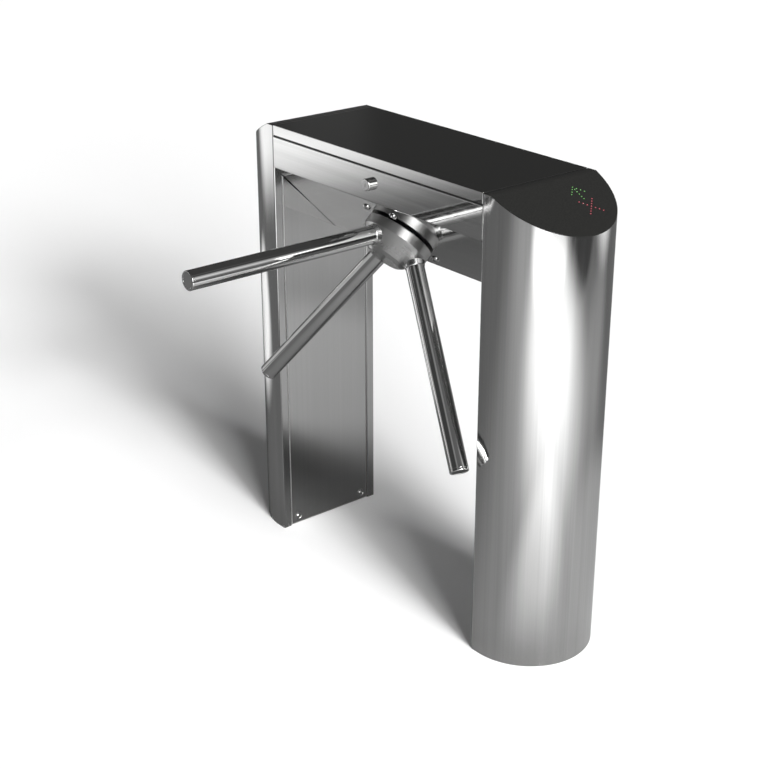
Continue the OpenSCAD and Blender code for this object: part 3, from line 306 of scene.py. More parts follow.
def makePlastic(name, values):
    material, tree, shader, coords = startMaterial(name)
    grain = addNode(tree, "ShaderNodeTexNoise", {"Scale": values["grain"], "Detail": 3.0})
    tree.links.new(coords, grain.inputs["Vector"])
    marks = addNode(tree, "ShaderNodeGroup", node_tree=bpy.data.node_groups["HandMarks"])
    marks.inputs["Scale"].default_value = sharedLook["plasticMarks"]
    tree.links.new(coords, marks.inputs["Vector"])
    tone = addRamp(tree, grain.outputs["Fac"], sharedLook["toneStops"], values["dark"], values["light"])
    tree.links.new(tone, shader.inputs["Base Color"])
    smooth, coarse = values["rough"]
    rough = addNode(tree, "ShaderNodeMapRange", {"To Min": smooth, "To Max": coarse})
    tree.links.new(marks.outputs["Marks"], rough.inputs["Value"])
    tree.links.new(rough.outputs[0], shader.inputs["Roughness"])
    shader.inputs["Specular IOR Level"].default_value = values.get("shine", 0.5)
    addBump(tree, shader, grain.outputs["Fac"], values["bump"], sharedLook["plasticBump"])
    return material


def makeLens(name, values):
    material, tree, shader, coords = startMaterial(name)
    look = lensLook
    spark = addNode(tree, "ShaderNodeTexNoise", {"Scale": look["sparkScale"], "Detail": 2.0})
    tree.links.new(coords, spark.inputs["Vector"])
    dim = tuple(channel * look["dim"] for channel in values["glow"])
    glow = addRamp(tree, spark.outputs["Fac"], look["glowStops"], dim, values["glow"])
    tree.links.new(glow, shader.inputs["Emission Color"])
    tone = addRamp(tree, spark.outputs["Fac"], look["bodyStops"], values["body"], values["glow"])
    tree.links.new(tone, shader.inputs["Base Color"])
    shader.inputs["Emission Strength"].default_value = values["strength"]
    shader.inputs["Roughness"].default_value = look["roughness"]
    return material


finishes = {name: makeMetal(name, values) for name, values in metals.items()}
finishes.update({name: makePlastic(name, values) for name, values in plastics.items()})
finishes.update({name: makeLens(name, values) for name, values in lenses.items()})
print("materials built:", len(finishes))

softAngle = 35  # degrees; edges sharper than this stay sharp
quarterTurn = [15 * k for k in range(7)]  # degrees, the steps of a rounded corner
bevelMid = 0.3  # where a small rounded edge has its middle point, as a share of its radius
touching = 0.01  # mm; places closer than this are one
straight = 1e-4  # radians; a corner that turns less has no fold
weld = 1e-6  # metres; vertices closer than this are merged
sliver = 1e-7  # metres; shorter edges are dissolved


# Points and outward normals along a folded line; outward is to the right of travel
def filletPath(corners, radii, step):
    path = []
    count = len(corners)
    for index, corner in enumerate(corners):
        here = Vector(corner)
        before = (here - Vector(corners[index - 1])).normalized() if index else None
        after = (Vector(corners[index + 1]) - here).normalized() if index < count - 1 else None
        if before is None or after is None:
            way = after or before
            path.append((here, Vector((way.y, -way.x))))
            continue
        turn = before.angle_signed(after)
        radius = radii[index]
        if radius <= 0 or abs(turn) < straight:
            path.append((here, Vector((before.y, -before.x))))
            path.append((here, Vector((after.y, -after.x))))
            continue
        reach = radius * math.tan(abs(turn) / 2)
        side = 1 if turn > 0 else -1
        start = here - before * reach
        center = start + Vector((before.y, -before.x)) * radius * side
        steps = max(2, math.ceil(math.degrees(abs(turn)) / step))
        for k in range(steps + 1):
            angle = turn * k / steps
            normal = Vector((before.y, -before.x))
            normal.rotate(Matrix.Rotation(-angle, 2))
            path.append((center - normal * radius * side, normal))
    return path


# Smooth shading with sharp edges, and flat faces kept flat
def shadeFlats(piece, smoothAngle):
    mesh = piece.data
    mesh.polygons.foreach_set("use_smooth", [True] * len(mesh.polygons))
    mesh.set_sharp_from_angle(angle=math.radians(smoothAngle))
    weighted = piece.modifiers.new("FlatFaces", "WEIGHTED_NORMAL")
    weighted.keep_sharp = True


def meshFrom(name, verts, faces, material, smoothAngle=softAngle, slots=None):
    mesh = bpy.data.meshes.new(name)
    mesh.from_pydata([tuple(v) for v in verts], [], faces)
    if slots:
        mesh.polygons.foreach_set("material_index", slots)
    work = bmesh.new()
    work.from_mesh(mesh)
    bmesh.ops.remove_doubles(work, verts=work.verts, dist=weld)
    bmesh.ops.dissolve_degenerate(work, edges=work.edges, dist=sliver)
    bmesh.ops.recalc_face_normals(work, faces=work.faces)
    work.to_mesh(mesh)
    work.free()
    mesh.materials.append(material)
    piece = bpy.data.objects.new(name, mesh)
    scene.collection.objects.link(piece)
    shadeFlats(piece, smoothAngle)
    return piece


# Quads between successive closed loops of equal length, as indices into the flat list of points
def joinLoops(loops, backToFirst=False):
    faces = []
    size = len(loops[0])
    rows = len(loops) if backToFirst else len(loops) - 1
    for row in range(rows):
        nextRow = (row + 1) % len(loops)
        for column in range(size):
            nextColumn = (column + 1) % size
            faces.append((row * size + column, row * size + nextColumn,
                          nextRow * size + nextColumn, nextRow * size + column))
    return faces


# place(point, end) gives the 3-D point of a path point at end 0 or 1
def foldedSheet(name, path, thickness, place, material):
    loops = []
    for point, normal in path:
        inner = point - normal * thickness
        loops.append([place(point, 0), place(point, 1), place(inner, 1), place(inner, 0)])
    verts = [v for loop in loops for v in loop]
    faces = joinLoops(loops)
    faces.append((0, 1, 2, 3))
    last = len(verts) - 4
    faces.append((last + 3, last + 2, last + 1, last))
    return meshFrom(name, verts, faces, material)


# Turns a profile of (radius, z) in mm about Z, then places it
def lathe(name, profile, material, matrix, segments=96, smoothAngle=softAngle):
    angles = [2 * math.pi * k / segments for k in range(segments)]
    loops = []
    for radius, z in profile:
        radius = max(radius, 0)
        loops.append([Vector((radius * math.cos(a) * mm, radius * math.sin(a) * mm, z * mm))
                      for a in angles])
    verts = [v for loop in loops for v in loop]
    piece = meshFrom(name, verts, joinLoops(loops), material, smoothAngle)
    piece.matrix_world = matrix
    return piece


def roundedProfile(points, radii, step=15):
    return [tuple(point) for point, normal in filletPath(points, radii, step)]


# A tray or plate through rounded rectangles (halfX, halfY, cornerRadius, z), closed at both ends
def rectangleRings(name, rings, material):
    loops = []
    for halfX, halfY, corner, z in rings:
        loop = []
        for sx, sy, first in ((1, 1, 0), (-1, 1, 90), (-1, -1, 180), (1, -1, 270)):
            for degrees in quarterTurn:
                angle = math.radians(first + degrees)
                loop.append(Vector((sx * (halfX - corner) + corner * math.cos(angle),
                                    sy * (halfY - corner) + corner * math.sin(angle), z)) * mm)
        loops.append(loop)
    verts = [v for loop in loops for v in loop]
    faces = joinLoops(loops)
    size = len(loops[0])
    faces.append(tuple(range(size - 1, -1, -1)))
    faces.append(tuple(range((len(loops) - 1) * size, len(loops) * size)))
    return meshFrom(name, verts, faces, material)


# Cuts the holes now, so that no boolean is left on the piece
def cutBy(piece, cutters):
    for cutter in cutters:
        boolean = piece.modifiers.new("Hole", "BOOLEAN")
        boolean.operation = "DIFFERENCE"
        boolean.solver = "EXACT"
        boolean.object = cutter
    piece.modifiers.remove(piece.modifiers["FlatFaces"])
    bpy.context.view_layer.update()
    evaluated = piece.evaluated_get(bpy.context.evaluated_depsgraph_get())
    mesh = bpy.data.meshes.new_from_object(evaluated)
    piece.modifiers.clear()
    piece.data = mesh
    shadeFlats(piece, softAngle)
    for cutter in cutters:
        bpy.data.objects.remove(cutter)


def finishPiece(piece, bodyName, slotName, *replaced):
    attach(piece, bodyName)
    if replaced:
        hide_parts(*replaced)


def placeAt(point, degrees, axis):
    return Matrix.Translation(Vector(point) * mm) @ Matrix.Rotation(math.radians(degrees), 4, axis)


# A point of the right-hand side, for side 1 or -1
def mirrored(point, side):
    return Vector((point[0] * side, point[1], point[2]))


# The whole body. Lengths from here to the studio are in mm
body = {"height": 1000.0, "halfDepth": 140.0, "innerX": 338.0, "arcX": 360.0, "sheet": 2.0,
        "slopeDrop": 69.0, "capT": 1.2, "seam": 0.8}
pedestal = {
    "stripEdge": 118.0,  # the strips end here, measured from the middle
    "landX": 341.5,  # face of the land behind the inner panel
    "landEdge": 88.0,
    "landLow": 8.0,
    "landTop": 984.0,
    "foldRadius": 3.2,
    "joggleRadius": 1.0,
    "foldStep": 12,  # degrees
    "arcStep": 2.0,  # degrees
}


# Height of the sloped top over the half-round end
def slopeZ(x, drop=0.0):
    past = max(0.0, abs(x) - body["arcX"])
    return body["height"] - drop - past * body["slopeDrop"] / body["halfDepth"]


# Angles of the half-round end, without its two ends
def arcAngles():
    step = pedestal["arcStep"]
    return [math.radians(-90 + k * step) for k in range(1, int(180 / step))]


def pedestalSkin(name, side, node):
    p, b = pedestal, body
    upper = filletPath(
        [(p["landX"], -p["landEdge"]), (p["landX"], -p["stripEdge"]),
         (b["innerX"], -p["stripEdge"]), (b["innerX"], -b["halfDepth"]),
         (b["arcX"], -b["halfDepth"])],
        [0, p["joggleRadius"], p["foldRadius"], p["foldRadius"], 0], p["foldStep"])
    arc = []
    for angle in arcAngles():
        normal = Vector((math.cos(angle), math.sin(angle)))
        arc.append((Vector((b["arcX"], 0)) + normal * b["halfDepth"], normal))
    back = [(Vector((point.x, -point.y)), Vector((normal.x, -normal.y)))
            for point, normal in reversed(upper)]

    def place(point, end):
        onLand = point.x < b["arcX"] - touching and abs(point.y) < p["stripEdge"] - touching
        if end:
            z = p["landTop"] if onLand else slopeZ(point.x, b["capT"])
        else:
            z = p["landLow"] if onLand else 0.0
        return mirrored((point.x, point.y, z), side) * mm

    piece = foldedSheet(name, upper + arc + back, b["sheet"], place, finishes["satin_steel"])
    finishPiece(piece, "frame", "satin_steel", node)


endCap = {"edge": 0.5, "ribInset": 2.2, "ribT": 3.0, "ribH": 12.0, "ribOverlap": 0.2}


# Half-round outline of the right cap, counter-clockwise from the inner front corner
def capOutline(inset, fromX):
    arcX, reach = body["arcX"], body["halfDepth"] - inset
    points = [(fromX, -reach), (arcX, -reach)]
    points += [(arcX + reach * math.cos(angle), reach * math.sin(angle)) for angle in arcAngles()]
    return points + [(arcX, reach), (fromX, reach)]


def capMesh(name, side, node):
    b, c = body, endCap
    easing = c["edge"] * bevelMid

    def ringAt(inset, fromX, drop):
        return [mirrored((x, y, slopeZ(x, drop)), side) * mm for x, y in capOutline(inset, fromX)]

    fromX = b["innerX"] + b["seam"]
    rings = [ringAt(inset, fromX + inset, drop)
             for inset, drop in ((0, b["capT"]), (0, c["edge"]), (easing, easing), (c["edge"], 0))]
    verts = [v for ring in rings for v in ring]
    faces = joinLoops(rings)
    size = len(rings[0])
    for base in (0, len(verts) - size):
        faces.append((base, base + 1, base + size - 2, base + size - 1))
        faces.append(tuple(base + k for k in range(1, size - 1)))
    # Locating rib under the cap
    outer, inner = c["ribInset"], c["ribInset"] + c["ribT"]
    top, low = b["capT"] - c["ribOverlap"], b["capT"] + c["ribH"]
    rib = [ringAt(inset, b["innerX"] + inset, drop)
           for inset, drop in ((outer, top), (outer, low), (inner, low), (inner, top))]
    start = len(verts)
    verts += [v for ring in rib for v in ring]
    faces += [tuple(start + k for k in face) for face in joinLoops(rib, backToFirst=True)]
    piece = meshFrom(name, verts, faces, finishes["black_gloss"])
    finishPiece(piece, "frame", "black_gloss", node)


# leastMitre holds back sharp corners; faces squarer than squareFace are the brushed front
innerPanel = {"edge": 116.5, "low": 2.0, "faceX": 339.5, "t": 2.0, "round": 1.9,
              "slopeTop": 882.1, "slopeY": 29.6, "floorZ": 735.0,
              "leastMitre": 0.2, "squareFace": 0.99, "smoothAngle": 50}


def panelMesh(name, side, node):
    p = innerPanel
    y, floorZ = p["edge"], p["floorZ"]
    outline = [(-y, p["low"]), (y, p["low"]), (y, floorZ), (p["slopeY"], floorZ),
               (-y, p["slopeTop"])]
    edge = [(p["round"] * (1 - math.cos(a)), p["faceX"] + p["round"] * (1 - math.sin(a)))
            for a in map(math.radians, quarterTurn)]
    rings = []
    for inset, x in [(0, p["faceX"] + p["t"])] + edge:
        ring = []
        for k, corner in enumerate(outline):
            here = Vector(corner)
            before = (here - Vector(outline[k - 1])).normalized()
            after = (Vector(outline[(k + 1) % len(outline)]) - here).normalized()
            shift = inset / max(p["leastMitre"], math.sin(before.angle(-after) / 2))
            spot = here + (after - before).normalized() * shift
            ring.append(mirrored((x, spot.x, spot.y), side) * mm)
        rings.append(ring)
    verts = [v for ring in rings for v in ring]
    faces = joinLoops(rings)
    size = len(outline)
    faces.append(tuple(range(size)))
    faces.append(tuple(range(len(verts) - size, len(verts))))
    piece = meshFrom(name, verts, faces, finishes["panel_steel"], p["smoothAngle"])
    piece.data.materials.append(finishes["sheared_edge"])
    for polygon in piece.data.polygons:
        polygon.material_index = 0 if abs(polygon.normal.x) > p["squareFace"] else 1
    finishPiece(piece, "frame", "panel_steel", node)


# Dished washer with a rolled lip, round each panel screw
washer = {"inner": 5.1, "dish": 8.2, "lip": 9.5, "outer": 10.8, "floor": 0.4, "height": 1.7,
          "floorEdge": 0.1, "dishEdge": 0.6, "lipEdge": 0.7, "y": 97.0, "z": 20.0,
          "segments": 48, "smoothAngle": 25}


def washerMesh(name, side, front):
    w = washer
    profile = roundedProfile(
        [(w["inner"], 0), (w["inner"], w["floor"]), (w["dish"], w["floor"]),
         (w["lip"], w["height"]), (w["outer"], 0), (w["inner"], 0)],
        [0, w["floorEdge"], w["dishEdge"], w["lipEdge"], 0, 0])
    matrix = placeAt((side * innerPanel["faceX"], front * w["y"], w["z"]), -90 * side, "Y")
    piece = lathe(name, profile, finishes["polished_steel"], matrix, w["segments"],
                  w["smoothAngle"])
    finishPiece(piece, "frame", "polished_steel")


sides = ((1, "Right"), (-1, "Left"))
for build, name, node in ((pedestalSkin, "pedestalSkin", "pedestal_skin_"),
                          (capMesh, "endCap", "end_cap_"),
                          (panelMesh, "innerPanel", "inner_panel_")):
    for side, way in sides:
        build(name + way, side, node + way.lower())
for side, way in sides:
    washerMesh("cupWasherFront" + way, side, -1)
    washerMesh("cupWasherBack" + way, side, 1)
print("pedestals built")

# Each light is a small lens in a dark bezel. Dome shares are of the lens's radius and of a height
lights = {"radius": 2.1, "sunk": 1.0, "rim": 0.25, "rimWall": 0.3, "gap": 0.1, "lens": 0.75,
          "dome": 0.45, "domeTop": 0.05,
          "domeShares": ((1.0, 0.5, "rim"), (0.86, 0.8, "dome"), (0.5, 0.95, "dome")),
          "pitch": 5.852, "shaftPitch": 7.056, "y": 49.0, "arrow": 28.28, "cross": 85.96,
          "crossReach": 3, "headReach": 3, "shaftReach": 5, "segments": 14, "smoothAngle": 60}


# Places down and across the slope of the cap
def lensPlaces(kind):
    v = lights
    y, pitch = v["y"], v["pitch"]
    if kind == "cross":
        steps = range(-v["crossReach"], v["crossReach"] + 1)
        places = [(v["cross"] + i * pitch, y + i * pitch) for i in steps]
        places += [(v["cross"] + i * pitch, y - i * pitch) for i in steps if i]
    else:
        places = [(v["arrow"] + i * pitch, y + i * pitch) for i in range(v["headReach"] + 1)]
        places += [(v["arrow"] + i * pitch, y - i * pitch) for i in range(1, v["headReach"] + 1)]
        places += [(v["arrow"] + i * v["shaftPitch"], y) for i in range(1, v["shaftReach"] + 1)]
    return places


def lensMesh(name, kind, slotName, node):
    v = lights
    tilt = math.atan2(body["slopeDrop"], body["halfDepth"])
    count = v["segments"]
    bezel = [(v["radius"], -v["sunk"]), (v["radius"], v["rim"] * bevelMid),
             (v["radius"] - v["rimWall"], v["rim"]), (v["lens"] + v["gap"], v["rim"])]
    dome = [(v["lens"] * across, v[height] * up) for across, up, height in v["domeShares"]]
    dome.append((v["domeTop"], v["dome"]))
    rows = bezel + dome
    band = joinLoops([[None] * count] * len(rows))
    verts, faces, slots = [], [], []
    for side in (1, -1):
        for down, across in lensPlaces(kind):
            start = len(verts)
            for radius, up in rows:
                for k in range(count):
                    angle = 2 * math.pi * k / count
                    s, y = down + radius * math.cos(angle), across + radius * math.sin(angle)
                    x = body["arcX"] + s * math.cos(tilt) + up * math.sin(tilt)
                    z = body["height"] - s * math.sin(tilt) + up * math.cos(tilt)
                    verts.append(mirrored((x, y, z), side) * mm)
            faces += [tuple(start + i for i in face) for face in band]
            faces.append(tuple(start + count * (len(rows) - 1) + k for k in range(count)))
            slots += [1] * (count * len(bezel)) + [0] * (count * (len(dome) - 1) + 1)
    piece = meshFrom(name, verts, faces, finishes[slotName], v["smoothAngle"], slots)
    # The bezel ring takes the bezel material, with its painted glow
    piece.data.materials.append(finishes[slotName.replace("lens", "bezel")])
    finishPiece(piece, "frame", slotName, node)


lensMesh("arrowLights", "arrow", "green_lens", "arrow_leds")
lensMesh("crossLights", "cross", "red_lens", "cross_leds")
print("indicator lights built")

# Holes are cut from cutDepth under a face to faceCut or lockCut above it
cabinet = {"topZ": 976.0, "fasciaZ": 906.0, "floorZ": 736.0, "lowerY": 30.0, "rim": 12.0,
           "halfL": 337.2, "fold": 2.6, "foldStep": 12, "faceHole": 34.0, "faceCut": 4.0,
           "lockZ": 942.5, "lockHole": 11.1, "lockCut": 8.0, "cutDepth": 8.0,
           "face": (0, -55, 821), "faceTurn": 135}
# The middle of the 45 degree face, with Z out of it along the shaft
headTurn = placeAt(cabinet["face"], cabinet["faceTurn"], "X")


def holeCutter(name, radius, top, matrix):
    low = -cabinet["cutDepth"]
    profile = [(0, low), (radius, low), (radius, top), (0, top)]
    return lathe(name, profile, finishes["bridge_steel"], matrix)


def cabinetShell():
    c, b = cabinet, body
    corners = [
        (c["rim"] - b["halfDepth"], c["topZ"]), (-b["halfDepth"], c["topZ"]),
        (-b["halfDepth"], c["fasciaZ"]), (c["lowerY"], c["floorZ"]), (b["halfDepth"], c["floorZ"]),
        (b["halfDepth"], c["topZ"]), (b["halfDepth"] - c["rim"], c["topZ"]),
    ]
    path = filletPath(corners, [0] + [c["fold"]] * (len(corners) - 2) + [0], c["foldStep"])

    def place(point, end):
        return Vector((c["halfL"] if end else -c["halfL"], point.x, point.y)) * mm

    piece = foldedSheet("bridgeShell", path, b["sheet"], place, finishes["bridge_steel"])
    lockTurn = placeAt((0, -b["halfDepth"], c["lockZ"]), 90, "X")
    cutBy(piece, [holeCutter("holeForHub", c["faceHole"], c["faceCut"], headTurn),
                  holeCutter("holeForLock", c["lockHole"], c["lockCut"], lockTurn)])
    finishPiece(piece, "frame", "satin_steel", "bridge_shell")


cabinetShell()

lid = {"halfX": 337.2, "halfY": 140.0, "low": 979.0, "top": 1000.0, "sheet": 2.0, "panelT": 3.0,
       "corner": 1.6, "innerCorner": 0.6, "edge": 0.4, "gap": 0.2, "panelEdge": 0.35}


# The upper edge of a plate in three rings: side, middle of the rounding, top face
def easedEdge(x, y, corner, top, edge):
    return [(x - inset, y - inset, corner, top - drop)
            for inset, drop in ((0, edge), (edge * bevelMid, edge * bevelMid), (edge, 0))]


def lidMeshes():
    v = lid
    x, y, corner, top = v["halfX"], v["halfY"], v["innerCorner"], v["top"]
    inX, inY, under = x - v["sheet"], y - v["sheet"], top - v["panelT"]
    rings = [(inX, inY, corner, under - v["sheet"]), (inX, inY, corner, v["low"]),
             (x, y, v["corner"], v["low"])]
    rings += easedEdge(x, y, v["corner"], top, v["edge"])
    rings += [(inX, inY, corner, top), (inX, inY, corner, under)]
    piece = rectangleRings("lidTray", rings, finishes["bridge_steel"])
    finishPiece(piece, "lid", "satin_steel", "lid_tray")
    plateX, plateY = inX - v["gap"], inY - v["gap"]
    rings = [(plateX, plateY, corner, under)]
    rings += easedEdge(plateX, plateY, corner, top, v["panelEdge"])
    piece = rectangleRings("lidPanel", rings, finishes["black_gloss"])
    finishPiece(piece, "lid", "black_gloss", "lid_panel")


lidMeshes()
print("cabinet and lid built")

lockHead = {"radius": 13.0, "length": 12.0, "edge": 2.0, "body": 11.0, "bodyL": 22.0, "bore": 8.05,
            "boreEdge": 0.5, "shoulder": 0.2, "z": 942.5, "segments": 64}


def lockMesh():
    v = lockHead
    end = v["length"] + v["bodyL"]
    profile = roundedProfile(
        [(v["bore"], end), (v["bore"], 0), (v["radius"], 0), (v["radius"], v["length"]),
         (v["body"], v["length"]), (v["body"], end), (v["bore"], end)],
        [0, v["boreEdge"], v["edge"], v["shoulder"], 0, 0, 0])
    matrix = placeAt((0, -body["halfDepth"] - v["length"], v["z"]), -90, "X")
    piece = lathe("lockHead", profile, finishes["polished_steel"], matrix, v["segments"])
    finishPiece(piece, "frame", "polished_steel", "lock_housing")


lockMesh()

# The hub's Z runs along the shaft, and that of arms, caps and collars along the arm
hub = {"gap": 4.0, "rimR": 77.0, "rimZ": 25.0, "frontR": 46.0, "frontZ": 62.0, "flatR": 38.0,
       "endZ": 67.0, "recessR": 32.0, "recessH": 3.0, "rimEdge": 1.6, "coneEdge": 5.0,
       "flatEdge": 2.5, "recessEdge": 0.3, "boreR": 15.0, "boreZ": 44.0, "boltR": 12.0,
       "step": 8, "segments": 160, "smoothAngle": 40}
hubCap = {"radius": 31.9, "height": 3.0, "edge": 0.9, "dish": 0.5,
          "dishShares": ((0.75, 0.5), (0.4, 1.0))}
arm = {"radius": 20.0, "wall": 2.0, "foot": 57.5, "footEdge": 0.3, "reach": 541.0, "endEdge": 0.25,
       "apex": 17.6, "lean": 45, "turns": {"Front": 0, "Right": 120, "Left": 240}}
armCap = {"length": 6.0, "edge": 1.6, "inside": 12.0, "fit": 0.1, "seat": 0.05, "lip": 0.3,
          "dish": 0.6, "dishOuter": 4.2, "dishInner": 4.6, "dishEdges": (0.3, 0.2), "step": 12}
collar = {"profile": [(26.5, 66), (24.6, 76), (23.2, 83), (22.2, 89), (21.4, 93.6), (20.9, 95.0),
                      (20.2, 95.6), (20.05, 95.0), (20.05, 66), (26.5, 66)],
          "segments": 72, "smoothAngle": 50}


# The three arms lean from one point on the shaft
def armMatrix(turn):
    lean = Matrix.Rotation(math.radians(-arm["lean"]), 4, "X")
    return headTurn @ placeAt((0, 0, -arm["apex"]), -turn, "Z") @ lean


def hubMesh():
    h = hub
    end, floorZ = h["endZ"], h["endZ"] - h["recessH"]
    profile = roundedProfile(
        [(h["boreR"], h["boreZ"]), (h["boreR"], h["gap"]), (h["rimR"], h["gap"]),
         (h["rimR"], h["rimZ"]), (h["frontR"], h["frontZ"]), (h["flatR"], end), (h["recessR"], end),
         (h["recessR"], floorZ), (h["boltR"], floorZ), (h["boltR"], h["boreZ"]),
         (h["boreR"], h["boreZ"])],
        [0, 0, h["rimEdge"], h["rimEdge"], h["coneEdge"], h["flatEdge"], h["recessEdge"],
         0, 0, 0, 0], h["step"])
    piece = lathe("rotorHub", profile, finishes["hub_steel"], headTurn, h["segments"],
                  h["smoothAngle"])
    finishPiece(piece, "rotor", "hub_steel", "rotor_hub")


def hubCapMesh():
    c, end = hubCap, hub["endZ"]
    radius, easing = c["radius"], c["edge"] * bevelMid
    base = end - c["height"]
    profile = [(0, base), (radius, base), (radius, end - c["edge"]),
               (radius - easing, end - easing), (radius - c["edge"], end)]
    profile += [(radius * across, end - c["dish"] * deep) for across, deep in c["dishShares"]]
    piece = lathe("hubCap", profile + [(0, end - c["dish"])], finishes["hub_steel"], headTurn)
    finishPiece(piece, "rotor", "hub_steel", "hub_cap")


def tubeProfile():
    a = arm
    end, inner, outer = a["reach"] - armCap["length"], a["radius"] - a["wall"], a["radius"]
    return [(inner, a["foot"]), (outer - a["footEdge"], a["foot"]),
            (outer, a["foot"] + a["footEdge"]), (outer, end - a["endEdge"]),
            (outer - a["endEdge"], end), (inner, end), (inner, a["foot"])]


def armCapProfile():
    a, c = arm, armCap
    end, inner, outer = a["reach"] - c["length"], a["radius"] - a["wall"] - c["fit"], a["radius"]
    low, seat, floorZ = end - c["inside"], end + c["seat"], a["reach"] - c["dish"]
    return roundedProfile(
        [(0, low), (inner, low), (inner, seat), (outer - a["endEdge"], seat),
         (outer, end + c["lip"]), (outer, a["reach"]), (outer - c["dishOuter"], a["reach"]),
         (outer - c["dishInner"], floorZ), (0, floorZ)],
        [0, 0, 0, 0, 0, c["edge"], *c["dishEdges"], 0], c["step"])


# The same turned piece on each arm; nodes says which CAD nodes each of the three stands for
def armPieces(name, profile, slotName, nodes, segments=96, smoothAngle=softAngle):
    for (way, turn), replaced in zip(arm["turns"].items(), nodes):
        piece = lathe(name + way, profile, finishes[slotName], armMatrix(turn), segments,
                      smoothAngle)
        finishPiece(piece, "rotor", slotName, *replaced)


hubMesh()
armPieces("collar", collar["profile"], "hub_steel", [(), (), ()], collar["segments"],
          collar["smoothAngle"])
hubCapMesh()
armPieces("arm", tubeProfile(), "polished_steel", [("arm_front",), ("arm_right",), ("arm_left",)])
armPieces("endCapOfArm", armCapProfile(), "polished_steel", [("arm_end_caps",), (), ()])
print("tripod built")

# The CAD nodes that stay take the finish of their slot; the hinge leaves are plated
steelByNode = {"hinge_fixed_leaves": "zinc_steel", "hinge_moving_leaves": "zinc_steel"}
kept = 0
for entry in frame["record"]["subparts"]:
    node = frame["nodes"][entry["node"]]
    if node.hide_render:
        continue
    finish = finishes[steelByNode.get(entry["node"], entry["material_slot"])]
    for index in range(len(node.data.materials)):
        node.data.materials[index] = finish
    kept += 1
print("CAD nodes kept:", kept)

studio = {
    "floorSize": 60.0,  # metres
    "lampDistance": 6.0,  # the lamps are suns, so only their direction counts
    "keyAzimuth": -7.0,  # degrees from +X
    "keyElevation": 29.0,
    "keyAngle": 15.0,
    "keyStrength": 3.0,
    # Lamps that throw the floor's soft shadow: azimuth, elevation, angle, strength
    "floorLamps": {
        "floorLampLow": (-10.0, 22.0, 12.0, 4.1),
        "floorLampWide": (-20.0, 18.0, 16.0, 2.8),
        "floorLampHigh": (0.0, 30.0, 12.0, 1.63),
    },
    "floorWhite": 0.90,
    "floorLift": 0.045,  # what the lit floor lacks to the background's white
    "ambient": 0.06,
    "bounce": 0.5,
    "leastLight": 0.02,  # the metal sees nothing darker than this
    # What the metal sees. Each light pool: centre, radii, softness, level
    "floorBase": 0.11,
    "metalLift": 0.045,
    "floorPools": {
        "beside": ((2.18, -0.78), (0.25, 0.33), 5.5, 1.44),
        "besideSkirt": ((1.5, -1.7), (0.4, 0.86), 4.5, 0.28),
        "behind": ((2.4, 3.7), (0.52, 0.42), 3.1, 1.77),
        "behindSkirt": ((1.4, 1.7), (0.2, 0.3), 3.9, 0.12),
        "front": ((-4.9, -2.65), (1.5, 1.5), 0.9, 1.1),
        "frontFar": ((-5.2, -4.3), (1.2, 1.2), 0.6, 0.35),
        "passage": ((0.45, 0.5), (0.35, 0.3), 1.3, 0.17),
        "foot": ((0.95, -0.3), (0.2, 0.15), 2.0, 0.4),
        "besideFar": ((2.6, -2.2), (0.6, 0.6), 0.8, 0.9),
        "besideEdge": ((3.1, -0.9), (0.3, 0.4), 0.8, 0.6),
        "behindShade": ((3.3, 1.0), (0.5, 0.8), 0.8, -0.25),
        "left": ((-1.9, -0.2), (0.45, 0.35), 1.0, 1.1),
    },
    # The same for the space above the floor, in degrees of azimuth and elevation
    "skyBase": 0.055,
    "skyPools": {
        "horizon": ((0.0, 0.0), (200.0, 3.0), 1.5, 0.06),
        "keyBox": ((0.0, 27.0), (24.0, 12.0), 1.1, 0.75),
        "keySkirt": ((32.0, 14.0), (6.0, 6.0), 1.2, 0.35),
        "keyTop": ((-5.0, 52.0), (45.0, 8.0), 0.6, 0.08),
        "rightBox": ((-24.0, 5.0), (17.0, 12.0), 1.0, 3.4),
        "frontBox": ((-70.0, 52.0), (9.0, 6.0), 1.2, 0.2),
        "leftBox": ((-147.0, 3.0), (12.0, 7.0), 1.5, 0.42),
        "lidStreak": ((143.1, 13.0), (0.9, 4.0), 1.6, 0.06),
    },
}


# Adds up soft elliptical pools over a vector (u, v)
def addPools(tree, place, base, pools):
    total = None
    for center, radii, softness, level in pools.values():
        offset = addNode(tree, "ShaderNodeVectorMath", {1: (*center, 0)}, operation="SUBTRACT")
        tree.links.new(place, offset.inputs[0])
        scaled = addNode(tree, "ShaderNodeVectorMath", {1: (*radii, 1)}, operation="DIVIDE")
        tree.links.new(offset.outputs[0], scaled.inputs[0])
        distance = addNode(tree, "ShaderNodeVectorMath", operation="LENGTH")
        tree.links.new(scaled.outputs[0], distance.inputs[0])
        pool = addNode(tree, "ShaderNodeMapRange",
                       {"From Min": 1 + softness, "From Max": 1.0, "To Min": 0.0, "To Max": level},
                       interpolation_type="SMOOTHSTEP")
        tree.links.new(distance.outputs["Value"], pool.inputs["Value"])
        total = addMath(tree, "ADD", pool.outputs[0], total if total is not None else base)
    return addMath(tree, "MAXIMUM", total, studio["leastLight"])


# 1 for rays that are neither the camera's nor a reflection's
def otherRays(tree, rays):
    plain = addMath(tree, "ADD", rays["Is Camera Ray"], rays["Is Glossy Ray"])
    return addMath(tree, "SUBTRACT", 1.0, plain, clamp=True)


